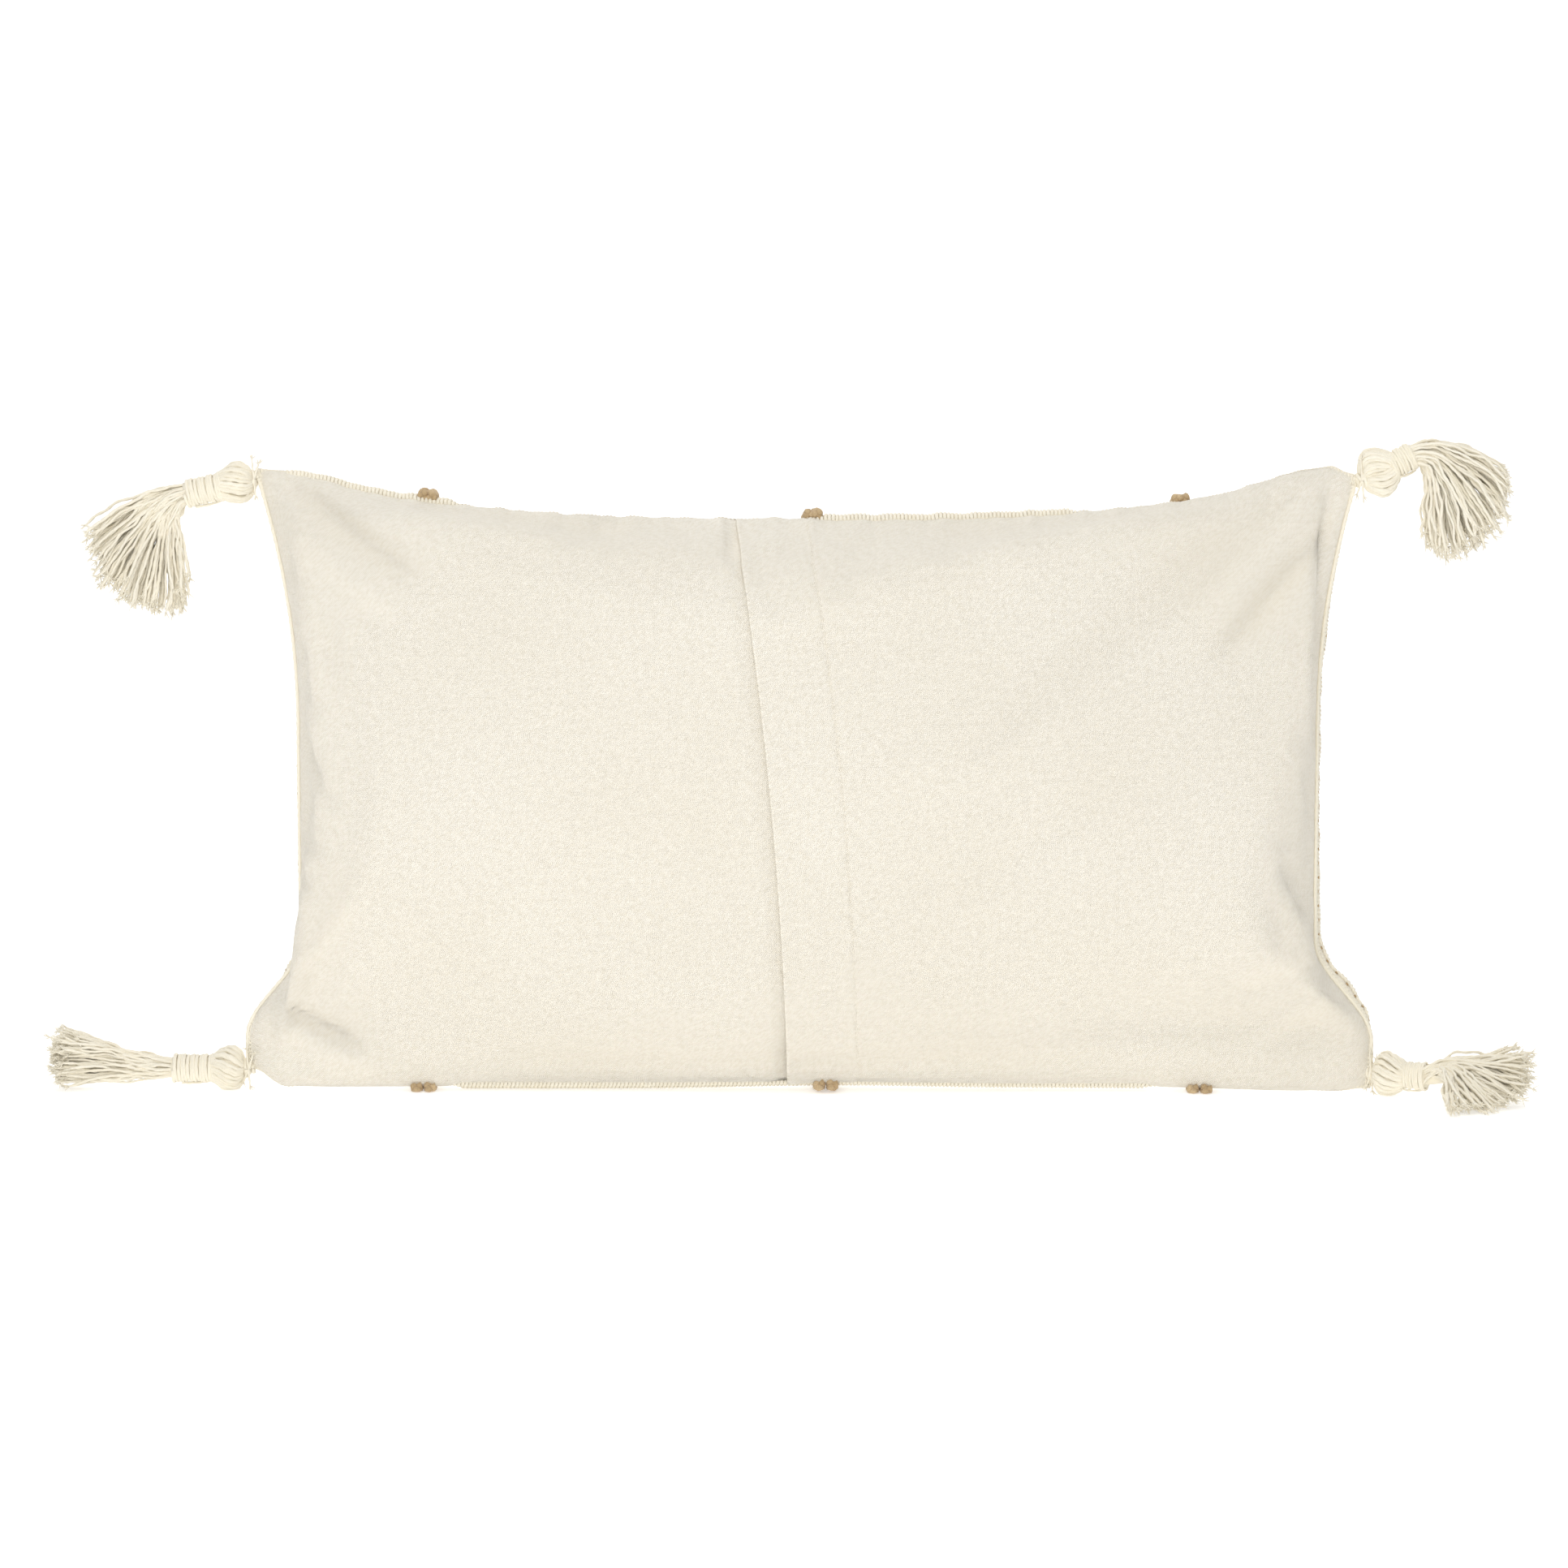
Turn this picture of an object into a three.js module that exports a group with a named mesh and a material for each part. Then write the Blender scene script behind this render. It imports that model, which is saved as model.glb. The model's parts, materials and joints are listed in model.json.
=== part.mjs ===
// Lumbar throw pillow: a cover with an envelope closure, three couched ropes and four corner tassels,
// over a filled insert. Millimetres, +Z up. It stands on its long bottom edge: the closure faces -Y,
// the corded front faces +Y, and the origin is the middle of the bottom seam.
import * as THREE from "three";

// ---- Driving dimensions ----
const WAIST_HALF_WIDTH = 275;
const TOP_CORNER_FLARE = 22;
const BOTTOM_CORNER_FLARE = 30;
const EAR_TOP = 80; // where the bottom corners start to stick out
const EAR_FULL = 28; // and where they do so fully
const CORNER_LIFT = 12; // of the bottom corners' tips off the floor
const CORNER_LIFT_START = 0.9; // as a part of the half width
const MID_HEIGHT = 311;
const CORNER_RISE = 26;
const CROWN_DEPTH = 70; // of each side at the middle, beyond the seam
const FOOT_SINK = 8; // how far the round bottom edge is pressed flat
const EAR_SWING = 16; // of the bottom right corner, towards the closure side
const EAR_HEIGHT = 120;
const EAR_START = 0.62; // as a part of the half width
const SEAM_HALF_GAP = 1.7;

const CANVAS = 1.0;
const CORDED = 2.5;
const CASING = 0.6;
const GAP = 0.3;

const HEM_WIDTH = 39;
const HEM_FOOT_X = 8; // of the hem's middle, at the bottom seam
const HEM_LEAN = -0.019; // x per z, the closure runs slightly off the vertical
const HEM_BEND = -0.0002; // x per z squared, and leans over more towards the top
const FLAP_LOW = 0.84; // section angles between which the hem is free of the seams
const FLAP_HIGH = 2.36;
const UNDERLAP_REACH = 50; // past the hem's stitching
const STITCH_INSET = 3; // of the hem's thread, on the panel's side of the fold

const ROPE_STRAND_RADIUS = 3;
const ROPE_STRAND_SHIFT = 3.4; // of each strand from the rope's middle
const ROPE_CLEARANCE = 1.3; // above the corded front, which is faceted under it
const ROPE_START = 0.45; // section angle of the rope's lower end
const ROPES = [
  { name: "left", bottomX: -209, topX: -205 },
  { name: "centre", bottomX: 10, topX: 3 },
  { name: "right", bottomX: 213, topX: 201 },
];

const THREAD_RADIUS = 0.4;
const THREAD_CLEARANCE = 0.4;
const OVERCAST_RADIUS = 1.0;
const OVERCAST_INSET = 1.5; // from the panels' edges
const INSERT_SCALE = 0.93;
const INSERT_FULLNESS = 0.88; // of its depth against the cover's
const INSERT_SWING = 0.8; // of its corner against the cover's ear

const HEAD_LENGTH = 18;
const HEAD_RADIUS = 11;
const CORE_RADIUS = 5.5;
const NECK_RADIUS = 8.4;
const NECK_TURNS = 6;
const SKIRT_ROOT_RADIUS = 7;
const TIE_RADIUS = 1.2;
const TIE_LENGTH = 2.6;
const FLOOR_TASSEL_HEIGHT = 11.4;

// Each tassel starts at its corner; bend lists the skirt's centreline from its pivot at the neck's end.
const TASSELS = [
  {
    name: "top_left",
    root: [-299.5, 0, 331.5],
    aim: [-38, 0, -8.3],
    neck: 22,
    bend: [[-8, 0, -8], [-14, 0, -20], [-19, 0, -33], [-22, 0, -46]],
    endRadius: 20,
  },
  {
    name: "top_right",
    root: [299.5, 0, 332],
    aim: [29, 0, 14],
    neck: 15,
    bend: [[10, 0, 2.5], [20, 0, -5], [25, 0, -21], [25, 0, -42]],
    endRadius: 18,
  },
  {
    name: "bottom_left",
    root: [-306.5, 0, FLOOR_TASSEL_HEIGHT],
    aim: [-40, 0, 0],
    neck: 25,
    bend: [[-15, 0, 0.5], [-30, 0, 2], [-45, 0, 3], [-58, 0, 4]],
    endRadius: 17,
  },
  {
    name: "bottom_right",
    root: [306.5, -EAR_SWING, FLOOR_TASSEL_HEIGHT],
    aim: [36, -17, 0],
    neck: 16,
    bend: [[11, -8, 0.5], [20, -20, 1], [28, -33, 2], [34, -46, 3]],
    endRadius: 19,
  },
];

// ---- Materials ----
const canvas = { color: "#efe9dc", roughness: 0.95, metalness: 0 };
const cordedCotton = { color: "#f0eadd", roughness: 0.95, metalness: 0 };
const cottonYarn = { color: "#f2ecde", roughness: 0.9, metalness: 0 };
const jute = { color: "#c3a77a", roughness: 0.9, metalness: 0 };
const thread = { color: "#f4efe4", roughness: 0.8, metalness: 0 };
const casingCloth = { color: "#f5f4f1", roughness: 0.85, metalness: 0 };
const fibreFill = { color: "#fafafa", roughness: 1, metalness: 0 };

const part = new THREE.Group();

function addMesh(name, geometry, look) {
  const mesh = new THREE.Mesh(geometry, new THREE.MeshStandardMaterial(look));
  mesh.name = name;
  part.add(mesh);
  return mesh;
}

// ---- The pillow's outer shape, as a function of u across it and t round its section ----
const FRONT = 1;
const BACK = -1;
const TURN_OVER = 0.9; // section angle over which a panel turns from its seam to its face
const SIDE_TURN = 0.75; // where it starts turning towards the side seams
const SIDE_TURN_WIDTH = 0.2;
const HALF_TURN = Math.PI / 2;

function smooth(x) {
  const k = Math.min(1, Math.max(0, x));
  return k * k * (3 - 2 * k);
}

// How much wider than the waist the side seams are at a height.
function flare(z) {
  const v = z / (MID_HEIGHT / 2) - 1;
  const top = Math.max(0, (v - 0.3) / 0.87);
  const bottom = smooth((EAR_TOP - z) / (EAR_TOP - EAR_FULL));
  return TOP_CORNER_FLARE * top ** 2 + BOTTOM_CORNER_FLARE * bottom;
}

function crown(u, t) {
  const across = Math.max(0, 1 - Math.abs(u) ** 2.6) ** 0.62;
  const fullness = t < HALF_TURN ? 0.9 : 0.9 + 0.4 * smooth((t - HALF_TURN) / HALF_TURN);
  return CROWN_DEPTH * across * Math.max(0, Math.sin(t)) ** fullness;
}

function hemLine(z) {
  return HEM_FOOT_X + HEM_LEAN * z + HEM_BEND * z * z;
}

// The plies lie on each other in the middle and thin out to one on each side at the ends.
function plyDepth(u) {
  const most = 3 * CANVAS + 3 * GAP;
  const least = CORDED + GAP;
  return least + (most - least) * (1 - smooth((Math.abs(u) - 0.3) / 0.2));
}

// A panel's outward direction: along the seam's plane at its edge, square to it on its face.
function outward(side, u, t) {
  const fromSeam = smooth(Math.min(t, Math.PI - t) / TURN_OVER);
  const turned = HALF_TURN * Math.max(fromSeam, smooth((Math.abs(u) - SIDE_TURN) / SIDE_TURN_WIDTH));
  const up = t < HALF_TURN ? -1 : 1;
  return new THREE.Vector3(0, side * Math.sin(turned), up * Math.cos(turned));
}

// The bottom right corner's ear is bent towards the closure side, with every ply and its tassel.
function earSwing(u, z) {
  return -EAR_SWING * smooth((u - EAR_START) / (1 - EAR_START)) * (1 - smooth(z / EAR_HEIGHT));
}

function coverPoint(side, u, t, depth) {
  const press = (FOOT_SINK * crown(u, HALF_TURN)) / CROWN_DEPTH;
  const height = MID_HEIGHT + CORNER_RISE * Math.abs(u) ** 3 + press;
  const lift = CORNER_LIFT * smooth((Math.abs(u) - CORNER_LIFT_START) / (1 - CORNER_LIFT_START));
  const resting = Math.max(0, (height / 2) * (1 - Math.cos(t)) - press);
  const z = lift + resting * (1 - lift / height);
  const x = u * WAIST_HALF_WIDTH + flare(z) * u ** 3 + hemLine(z) * (1 - u * u);
  const out = outward(side, u, t);
  const y = side * (SEAM_HALF_GAP + crown(u, t)) + plyDepth(u) * out.y + earSwing(u, z);
  return new THREE.Vector3(x, y, z).addScaledVector(out, -depth);
}

// ---- Sheets: closed slabs over the cells of a grid shared by every ply, so plies never cross ----
function withLines(lines, extra, clear) {
  const kept = lines.filter((a) => extra.every((b) => Math.abs(a - b) > clear));
  return [...kept, ...extra].sort((a, b) => a - b);
}

function evenLines(count, place) {
  return Array.from({ length: count + 1 }, (_, k) => place(k / count));
}

const HALF_HEM = HEM_WIDTH / 2 / WAIST_HALF_WIDTH;
const FREE_EDGE = -HALF_HEM;
const STITCH_LINE = HALF_HEM;
const PANEL_START = STITCH_LINE + 0.6 / WAIST_HALF_WIDTH;
const STEP_START = FREE_EDGE - 9 / WAIST_HALF_WIDTH;
const STEP_END = FREE_EDGE - 1 / WAIST_HALF_WIDTH;
const UNDERLAP_END = STITCH_LINE + UNDERLAP_REACH / WAIST_HALF_WIDTH;
const FIXED_LOW = FLAP_LOW - 0.008;
const FIXED_HIGH = FLAP_HIGH + 0.012;

const COLUMNS = withLines(
  evenLines(18, (k) => (2 * k - 1 + Math.sin((k - 0.5) * Math.PI)) / 2),
  [STEP_START, STEP_END, FREE_EDGE, STITCH_LINE, PANEL_START, UNDERLAP_END],
  0.022,
);
const ROWS = withLines(
  evenLines(16, (k) => k * Math.PI),
  [FIXED_LOW, FLAP_LOW, FLAP_HIGH, FIXED_HIGH],
  0.06,
);

class Faces {
  constructor() {
    this.points = [];
  }

  triangle(a, b, c) {
    for (const p of [a, b, c]) this.points.push(p.x, p.y, p.z);
  }

  quad(a, b, c, d) {
    this.triangle(a, b, c);
    this.triangle(a, c, d);
  }

  geometry() {
    const made = new THREE.BufferGeometry();
    made.setAttribute("position", new THREE.Float32BufferAttribute(this.points, 3));
    made.computeVertexNormals();
    return made;
  }
}

// A slab over the cells that inside(u, t) keeps; outer and inner give its two surfaces' points.
function slab(side, columns, rows, inside, outer, inner) {
  const faces = new Faces();
  const keeps = (i, j) =>
    i >= 0 && j >= 0 && i + 1 < columns.length && j + 1 < rows.length &&
    inside((columns[i] + columns[i + 1]) / 2, (rows[j] + rows[j + 1]) / 2);
  const at = (surface, [i, j]) => surface(columns[i], rows[j]);
  for (let i = 0; i + 1 < columns.length; i++) {
    for (let j = 0; j + 1 < rows.length; j++) {
      if (!keeps(i, j)) continue;
      const corners = [[i, j], [i + 1, j], [i + 1, j + 1], [i, j + 1]];
      const beyond = [[i, j - 1], [i + 1, j], [i, j + 1], [i - 1, j]];
      const [a, b, c, d] = corners.map((k) => at(outer, k));
      const [e, f, g, h] = corners.map((k) => at(inner, k));
      if (side === BACK) {
        faces.triangle(a, b, c);
        faces.triangle(a, c, d);
        faces.triangle(e, g, f);
        faces.triangle(e, h, g);
      } else {
        faces.triangle(a, c, b);
        faces.triangle(a, d, c);
        faces.triangle(e, f, g);
        faces.triangle(e, g, h);
      }
      beyond.forEach(([m, n], k) => {
        if (keeps(m, n)) return;
        const from = corners[k];
        const to = corners[(k + 1) % 4];
        const wall = [at(outer, to), at(outer, from), at(inner, from), at(inner, to)];
        faces.quad(...(side === BACK ? wall : wall.reverse()));
      });
    }
  }
  return faces.geometry();
}

function coverSheet(side, inside, outerDepth, thickness) {
  return slab(
    side,
    COLUMNS,
    ROWS,
    inside,
    (u, t) => coverPoint(side, u, t, outerDepth(u)),
    (u, t) => coverPoint(side, u, t, outerDepth(u) + thickness),
  );
}

// ---- The cover's panels ----
const UNDER_HEM = 2 * (CANVAS + GAP);

function addPanels() {
  const isFree = (t) => t > FIXED_LOW && t < FIXED_HIGH;
  const onFlap = (u, t) => u > FREE_EDGE && u < STITCH_LINE && t > FLAP_LOW && t < FLAP_HIGH;
  const onOverlap = (u, t) => u > PANEL_START || (u > FREE_EDGE && !isFree(t));
  const onTurning = (u, t) => u > FREE_EDGE && u < STITCH_LINE && !isFree(t);
  const onUnderlap = (u) => u < UNDERLAP_END;
  const atSurface = () => 0;
  const belowOnePly = () => CANVAS + GAP;
  const steppedUnder = (u) => (u < STEP_START + 1e-6 ? 0 : UNDER_HEM);
  const always = () => true;

  addMesh("front_panel", coverSheet(FRONT, always, atSurface, CORDED), cordedCotton);
  addMesh("back_panel_underlap", coverSheet(BACK, onUnderlap, steppedUnder, CANVAS), canvas);
  addMesh("back_panel_overlap", coverSheet(BACK, onOverlap, atSurface, CANVAS), canvas);
  addMesh("closure_flap", coverSheet(BACK, onFlap, atSurface, CANVAS), canvas);
  addMesh("closure_flap_turning", coverSheet(BACK, onFlap, belowOnePly, CANVAS), canvas);
  const low = (u, t) => onTurning(u, t) && t < HALF_TURN;
  const high = (u, t) => onTurning(u, t) && t > HALF_TURN;
  addMesh("hem_turning_bottom", coverSheet(BACK, low, belowOnePly, CANVAS), canvas);
  addMesh("hem_turning_top", coverSheet(BACK, high, belowOnePly, CANVAS), canvas);
}

// ---- Cords, ropes and threads: round sections along a path ----
function cordGeometry(points, radius, steps) {
  const section = new THREE.Shape();
  section.absarc(0, 0, radius, 0, 2 * Math.PI, false);
  const path = new THREE.CatmullRomCurve3(points);
  return new THREE.ExtrudeGeometry(section, {
    steps,
    curveSegments: 4,
    bevelEnabled: false,
    extrudePath: path,
  });
}

// The place across the pillow that lies at x on a given section angle.
function acrossAt(side, x, t) {
  let u = x / WAIST_HALF_WIDTH;
  for (let k = 0; k < 8; k++) u += (x - coverPoint(side, u, t, 0).x) / WAIST_HALF_WIDTH;
  return u;
}

// A point lifted off the cover along the section's normal.
function liftedPoint(side, x, t, lift) {
  const u = acrossAt(side, x, t);
  const step = 0.02;
  const ahead = coverPoint(side, u, Math.min(Math.PI, t + step), 0);
  const behind = coverPoint(side, u, Math.max(0, t - step), 0);
  const normal = new THREE.Vector3(0, side * (ahead.z - behind.z), side * (behind.y - ahead.y));
  return coverPoint(side, u, t, 0).addScaledVector(normal.normalize(), lift);
}

function addRopes() {
  const count = 14;
  const lift = ROPE_STRAND_RADIUS + ROPE_CLEARANCE;
  for (const rope of ROPES) {
    for (const [strand, hand] of [["a", -1], ["b", 1]]) {
      const points = evenLines(count, (k) => {
        const x = THREE.MathUtils.lerp(rope.bottomX, rope.topX, k) + hand * ROPE_STRAND_SHIFT;
        return liftedPoint(FRONT, x, THREE.MathUtils.lerp(ROPE_START, Math.PI, k), lift);
      });
      const geometry = cordGeometry(points, ROPE_STRAND_RADIUS, 18);
      addMesh(`rope_${rope.name}_strand_${strand}`, geometry, jute);
    }
  }
}

function addHemStitching() {
  const start = 0.5;
  const end = Math.PI - 0.25;
  const offset = HEM_WIDTH / 2 + STITCH_INSET;
  const points = evenLines(14, (k) => {
    const t = start + (end - start) * k;
    const z = coverPoint(BACK, STITCH_LINE, t, 0).z;
    return liftedPoint(BACK, hemLine(z) + offset, t, THREAD_RADIUS + THREAD_CLEARANCE);
  });
  addMesh("hem_stitching", cordGeometry(points, THREAD_RADIUS, 20), thread);
}

// The overcast strands that join the panels' edges, in the slot between front and back.
function addSeams() {
  for (const [name, t, up] of [["bottom", 0, 1], ["top", Math.PI, -1]]) {
    const edge = evenLines(16, (k) => {
      const u = (2 * k - 1) * 0.97;
      const rim = coverPoint(FRONT, u, t, 0);
      return new THREE.Vector3(rim.x, earSwing(u, rim.z), rim.z + up * OVERCAST_INSET);
    });
    addMesh(`seam_overcast_${name}`, cordGeometry(edge, OVERCAST_RADIUS, 22), thread);
  }
  for (const [name, end] of [["left", -1], ["right", 1]]) {
    const side = evenLines(14, (k) => {
      const rim = coverPoint(FRONT, end, 0.3 + (Math.PI - 0.6) * k, 0);
      return new THREE.Vector3(rim.x - end * OVERCAST_INSET, earSwing(end, rim.z), rim.z);
    });
    addMesh(`seam_overcast_${name}`, cordGeometry(side, OVERCAST_RADIUS, 14), thread);
  }
}

// ---- The insert: two casing halves round a closed body of fibre fill ----
const INSERT_COLUMNS = evenLines(16, (k) => 2 * k - 1);
const INSERT_ROWS = evenLines(10, (k) => k * Math.PI);

function insertPoint(side, u, t, depth) {
  const centre = MID_HEIGHT / 2;
  const cover = coverPoint(side, INSERT_SCALE * u, t, plyDepth(u));
  const out = outward(side, u, t);
  const swing = INSERT_SWING * earSwing(u, cover.z);
  const y = side * (GAP + INSERT_FULLNESS * crown(u, t)) + (CASING + 2 * GAP) * out.y + swing;
  const z = centre + INSERT_SCALE * (cover.z - centre);
  return new THREE.Vector3(cover.x, y, z).addScaledVector(out, -depth);
}

function addInsert() {
  const always = () => true;
  for (const [name, side] of [["front", FRONT], ["back", BACK]]) {
    const outer = (u, t) => insertPoint(side, u, t, 0);
    const inner = (u, t) => insertPoint(side, u, t, CASING);
    const half = slab(side, INSERT_COLUMNS, INSERT_ROWS, always, outer, inner);
    addMesh(`insert_casing_${name}`, half, casingCloth);
  }
  const fillDepth = CASING + GAP;
  const toBack = (u, t) => insertPoint(BACK, u, t, fillDepth);
  const toFront = (u, t) => insertPoint(FRONT, u, t, fillDepth);
  const fill = slab(BACK, INSERT_COLUMNS, INSERT_ROWS, always, toBack, toFront);
  addMesh("insert_fill", fill, fibreFill);
}

// ---- Tassels: a tie cord, a gathered head with a core, a wrapped neck and a skirt of yarn ----
const LATHE_SIDES = 12;
const NECK_START = HEAD_LENGTH + GAP;

function neckEnd(tassel) {
  return NECK_START + tassel.neck;
}

// The skirt's pivot, from the corner along the tassel.
function pivotDistance(tassel) {
  return neckEnd(tassel) + SKIRT_ROOT_RADIUS + 0.4;
}

function aimed(mesh, tassel) {
  const aim = new THREE.Vector3(...tassel.aim).normalize();
  mesh.position.set(...tassel.root);
  mesh.quaternion.setFromUnitVectors(new THREE.Vector3(0, 1, 0), aim);
}

// Both profiles run in (radius, distance from the corner).
function headGeometry(tassel) {
  const coreEnd = neckEnd(tassel) - 1;
  const profile = [
    [0, 3.2],
    [4.2, 3.6],
    [8, 5.6],
    [10.2, 8.4],
    [HEAD_RADIUS, 11.4],
    [9.8, 15],
    [7.2, HEAD_LENGTH - 0.6],
    [CORE_RADIUS, HEAD_LENGTH],
    [CORE_RADIUS, coreEnd],
    [0, coreEnd],
  ];
  return new THREE.LatheGeometry(profile.map(([r, s]) => new THREE.Vector2(r, s)), LATHE_SIDES);
}

function neckGeometry(tassel) {
  const inner = CORE_RADIUS + 2 * GAP;
  const turn = tassel.neck / NECK_TURNS;
  const profile = [new THREE.Vector2(inner, NECK_START)];
  for (let k = 0; k < NECK_TURNS; k++) {
    profile.push(new THREE.Vector2(NECK_RADIUS - 0.8, NECK_START + k * turn));
    profile.push(new THREE.Vector2(NECK_RADIUS, NECK_START + (k + 0.5) * turn));
  }
  profile.push(new THREE.Vector2(NECK_RADIUS - 0.8, neckEnd(tassel)));
  profile.push(new THREE.Vector2(inner, neckEnd(tassel)));
  profile.push(profile[0].clone());
  return new THREE.LatheGeometry(profile, LATHE_SIDES);
}

// A skirt: rings along its bent centreline, from a round root at the pivot to the cut ends.
function skirtGeometry(tassel) {
  const aim = new THREE.Vector3(...tassel.aim).normalize();
  const pivot = new THREE.Vector3(...tassel.root).addScaledVector(aim, pivotDistance(tassel));
  const bend = tassel.bend.map((p) => pivot.clone().add(new THREE.Vector3(...p)));
  const path = new THREE.CatmullRomCurve3([pivot, ...bend]);
  const rings = [];
  const across = new THREE.Vector3(0, 0, 1).cross(aim).normalize();
  for (const polar of [-80, -50, -20]) {
    const angle = THREE.MathUtils.degToRad(polar);
    const centre = pivot.clone().addScaledVector(aim, SKIRT_ROOT_RADIUS * Math.sin(angle));
    rings.push(ring(centre, aim, across, SKIRT_ROOT_RADIUS * Math.cos(angle)));
  }
  const steps = 9;
  for (let k = 1; k <= steps; k++) {
    const s = k / steps;
    const radius = SKIRT_ROOT_RADIUS + (tassel.endRadius - SKIRT_ROOT_RADIUS) * smooth(s * 0.85);
    rings.push(ring(path.getPointAt(s), path.getTangentAt(s), across, radius));
  }
  return loft(rings);
}

function ring(centre, tangent, across, radius) {
  const sides = 10;
  const first = across.clone().addScaledVector(tangent, -across.dot(tangent)).normalize();
  const second = tangent.clone().cross(first);
  return evenLines(sides, (k) => k * 2 * Math.PI).slice(0, sides).map((angle) => {
    const p = centre.clone().addScaledVector(first, radius * Math.cos(angle));
    p.addScaledVector(second, radius * Math.sin(angle));
    p.z = Math.max(0, p.z);
    return p;
  });
}

function loft(rings) {
  const faces = new Faces();
  const sides = rings[0].length;
  for (let k = 0; k + 1 < rings.length; k++) {
    for (let i = 0; i < sides; i++) {
      const j = (i + 1) % sides;
      faces.quad(rings[k][i], rings[k][j], rings[k + 1][j], rings[k + 1][i]);
    }
  }
  const last = rings[rings.length - 1];
  for (let i = 1; i + 1 < sides; i++) {
    faces.triangle(rings[0][0], rings[0][i + 1], rings[0][i]);
    faces.triangle(last[0], last[i], last[i + 1]);
  }
  return faces.geometry();
}

function addTassel(tassel) {
  const name = `tassel_${tassel.name}`;
  const tie = new THREE.CylinderGeometry(TIE_RADIUS, TIE_RADIUS, TIE_LENGTH, 8);
  tie.translate(0, TIE_LENGTH / 2 + GAP, 0);
  aimed(addMesh(`${name}_tie_cord`, tie, cottonYarn), tassel);
  aimed(addMesh(`${name}_head`, headGeometry(tassel), cottonYarn), tassel);
  aimed(addMesh(`${name}_neck_wrap`, neckGeometry(tassel), cottonYarn), tassel);
  addMesh(`${name}_skirt`, skirtGeometry(tassel), cottonYarn);
}

addPanels();
addRopes();
addHemStitching();
addSeams();
addInsert();
TASSELS.forEach(addTassel);

export default part;
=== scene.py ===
import json
import math

import bpy
import numpy as np
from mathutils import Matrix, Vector


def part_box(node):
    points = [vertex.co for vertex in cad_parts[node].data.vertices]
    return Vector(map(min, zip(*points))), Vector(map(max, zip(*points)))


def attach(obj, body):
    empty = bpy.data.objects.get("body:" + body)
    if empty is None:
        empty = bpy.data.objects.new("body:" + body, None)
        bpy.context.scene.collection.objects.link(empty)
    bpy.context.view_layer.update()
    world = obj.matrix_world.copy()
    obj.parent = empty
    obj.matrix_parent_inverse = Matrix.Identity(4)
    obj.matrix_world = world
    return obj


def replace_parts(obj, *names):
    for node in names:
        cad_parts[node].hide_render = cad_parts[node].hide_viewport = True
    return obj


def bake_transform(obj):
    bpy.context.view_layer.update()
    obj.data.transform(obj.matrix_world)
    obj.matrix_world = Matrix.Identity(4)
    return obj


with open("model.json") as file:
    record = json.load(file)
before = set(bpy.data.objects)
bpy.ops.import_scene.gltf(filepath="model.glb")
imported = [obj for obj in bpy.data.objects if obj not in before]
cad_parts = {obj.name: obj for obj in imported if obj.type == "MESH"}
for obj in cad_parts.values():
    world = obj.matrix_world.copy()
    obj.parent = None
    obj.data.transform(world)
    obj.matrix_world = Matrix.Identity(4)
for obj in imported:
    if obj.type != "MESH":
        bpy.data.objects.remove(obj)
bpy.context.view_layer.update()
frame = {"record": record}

rng = np.random.default_rng(11)

# ---- Sizes, in metres; the CAD's boxes place the cover ----
WIDTH = 0.610
HEIGHT = 0.356
PANEL_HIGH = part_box("front_panel")[1]
CROWN_INSET = 0.0066
CROWN = PANEL_HIGH.y - CROWN_INSET
CROWN_TAPER = 2.6
CROWN_ROUND = 0.62
SECTION_FULL = 0.9
SECTION_THINNING = 0.4
TOP_FLARE = 0.022
BOTTOM_FLARE = 0.030
FLARE_START = 0.3
FLARE_SPAN = 0.87
WAIST = PANEL_HIGH.x - BOTTOM_FLARE
CORNER_RISE = 0.026
MID_HEIGHT = PANEL_HIGH.z - CORNER_RISE
FOOT_SINK = 0.008
EAR_SWING = 0.016
EAR_START = 0.62
EAR_HEIGHT = 0.12
EAR_TOP = 0.080
EAR_FULL = 0.028
LEFT_LIFT = 0.012
RIGHT_LIFT = 0.003
CORNER_START = 0.94
# Rises of the top seam: height, place across the cover from -1 to 1, width
TOP_HUMPS = ((0.0035, -0.92, 0.07), (0.0065, 0.91, 0.10))
RIGHT_DROP = 0.0060
DROP_START = 0.95
SEAM_BACKWARD = 0.005
SEAM_OFF_FLOOR = 0.003

# ---- The cloth's simulation, and the finer grid that follows it ----
CLOTH_CELL = 0.0075
CLOTH_FRAMES = 36
FILLING_FRAMES = 12
CLOTH = dict(
    quality=6,
    mass=0.3,
    tension_stiffness=40,
    compression_stiffness=10,
    shear_stiffness=5,
    bending_stiffness=0.5,
    air_damping=2,
    vertex_group_mass="seam",
    use_pressure=True,
    uniform_pressure_force=0,
    use_pressure_volume=True,
    pressure_factor=6,
)
START_PUFF = 0.004
PUFF_REACH = 0.04
MOST_MOVE = 0.020
SEAM_SHARE = 0.3
SHARE_REACH = 0.035
FINE_CELL = 0.003
LEAST_HALF = 0.0030
HALF_REACH = 0.016
CREASE_REACH = 0.012

# Gathers along the top seam: waves per metre, phase, share
GATHERS = ((260, 1.0, 1.0), (410, 2.3, 0.8), (630, 0.4, 0.6))
PUCKER = 0.0007
PUCKER_REACH = 0.024

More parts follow.
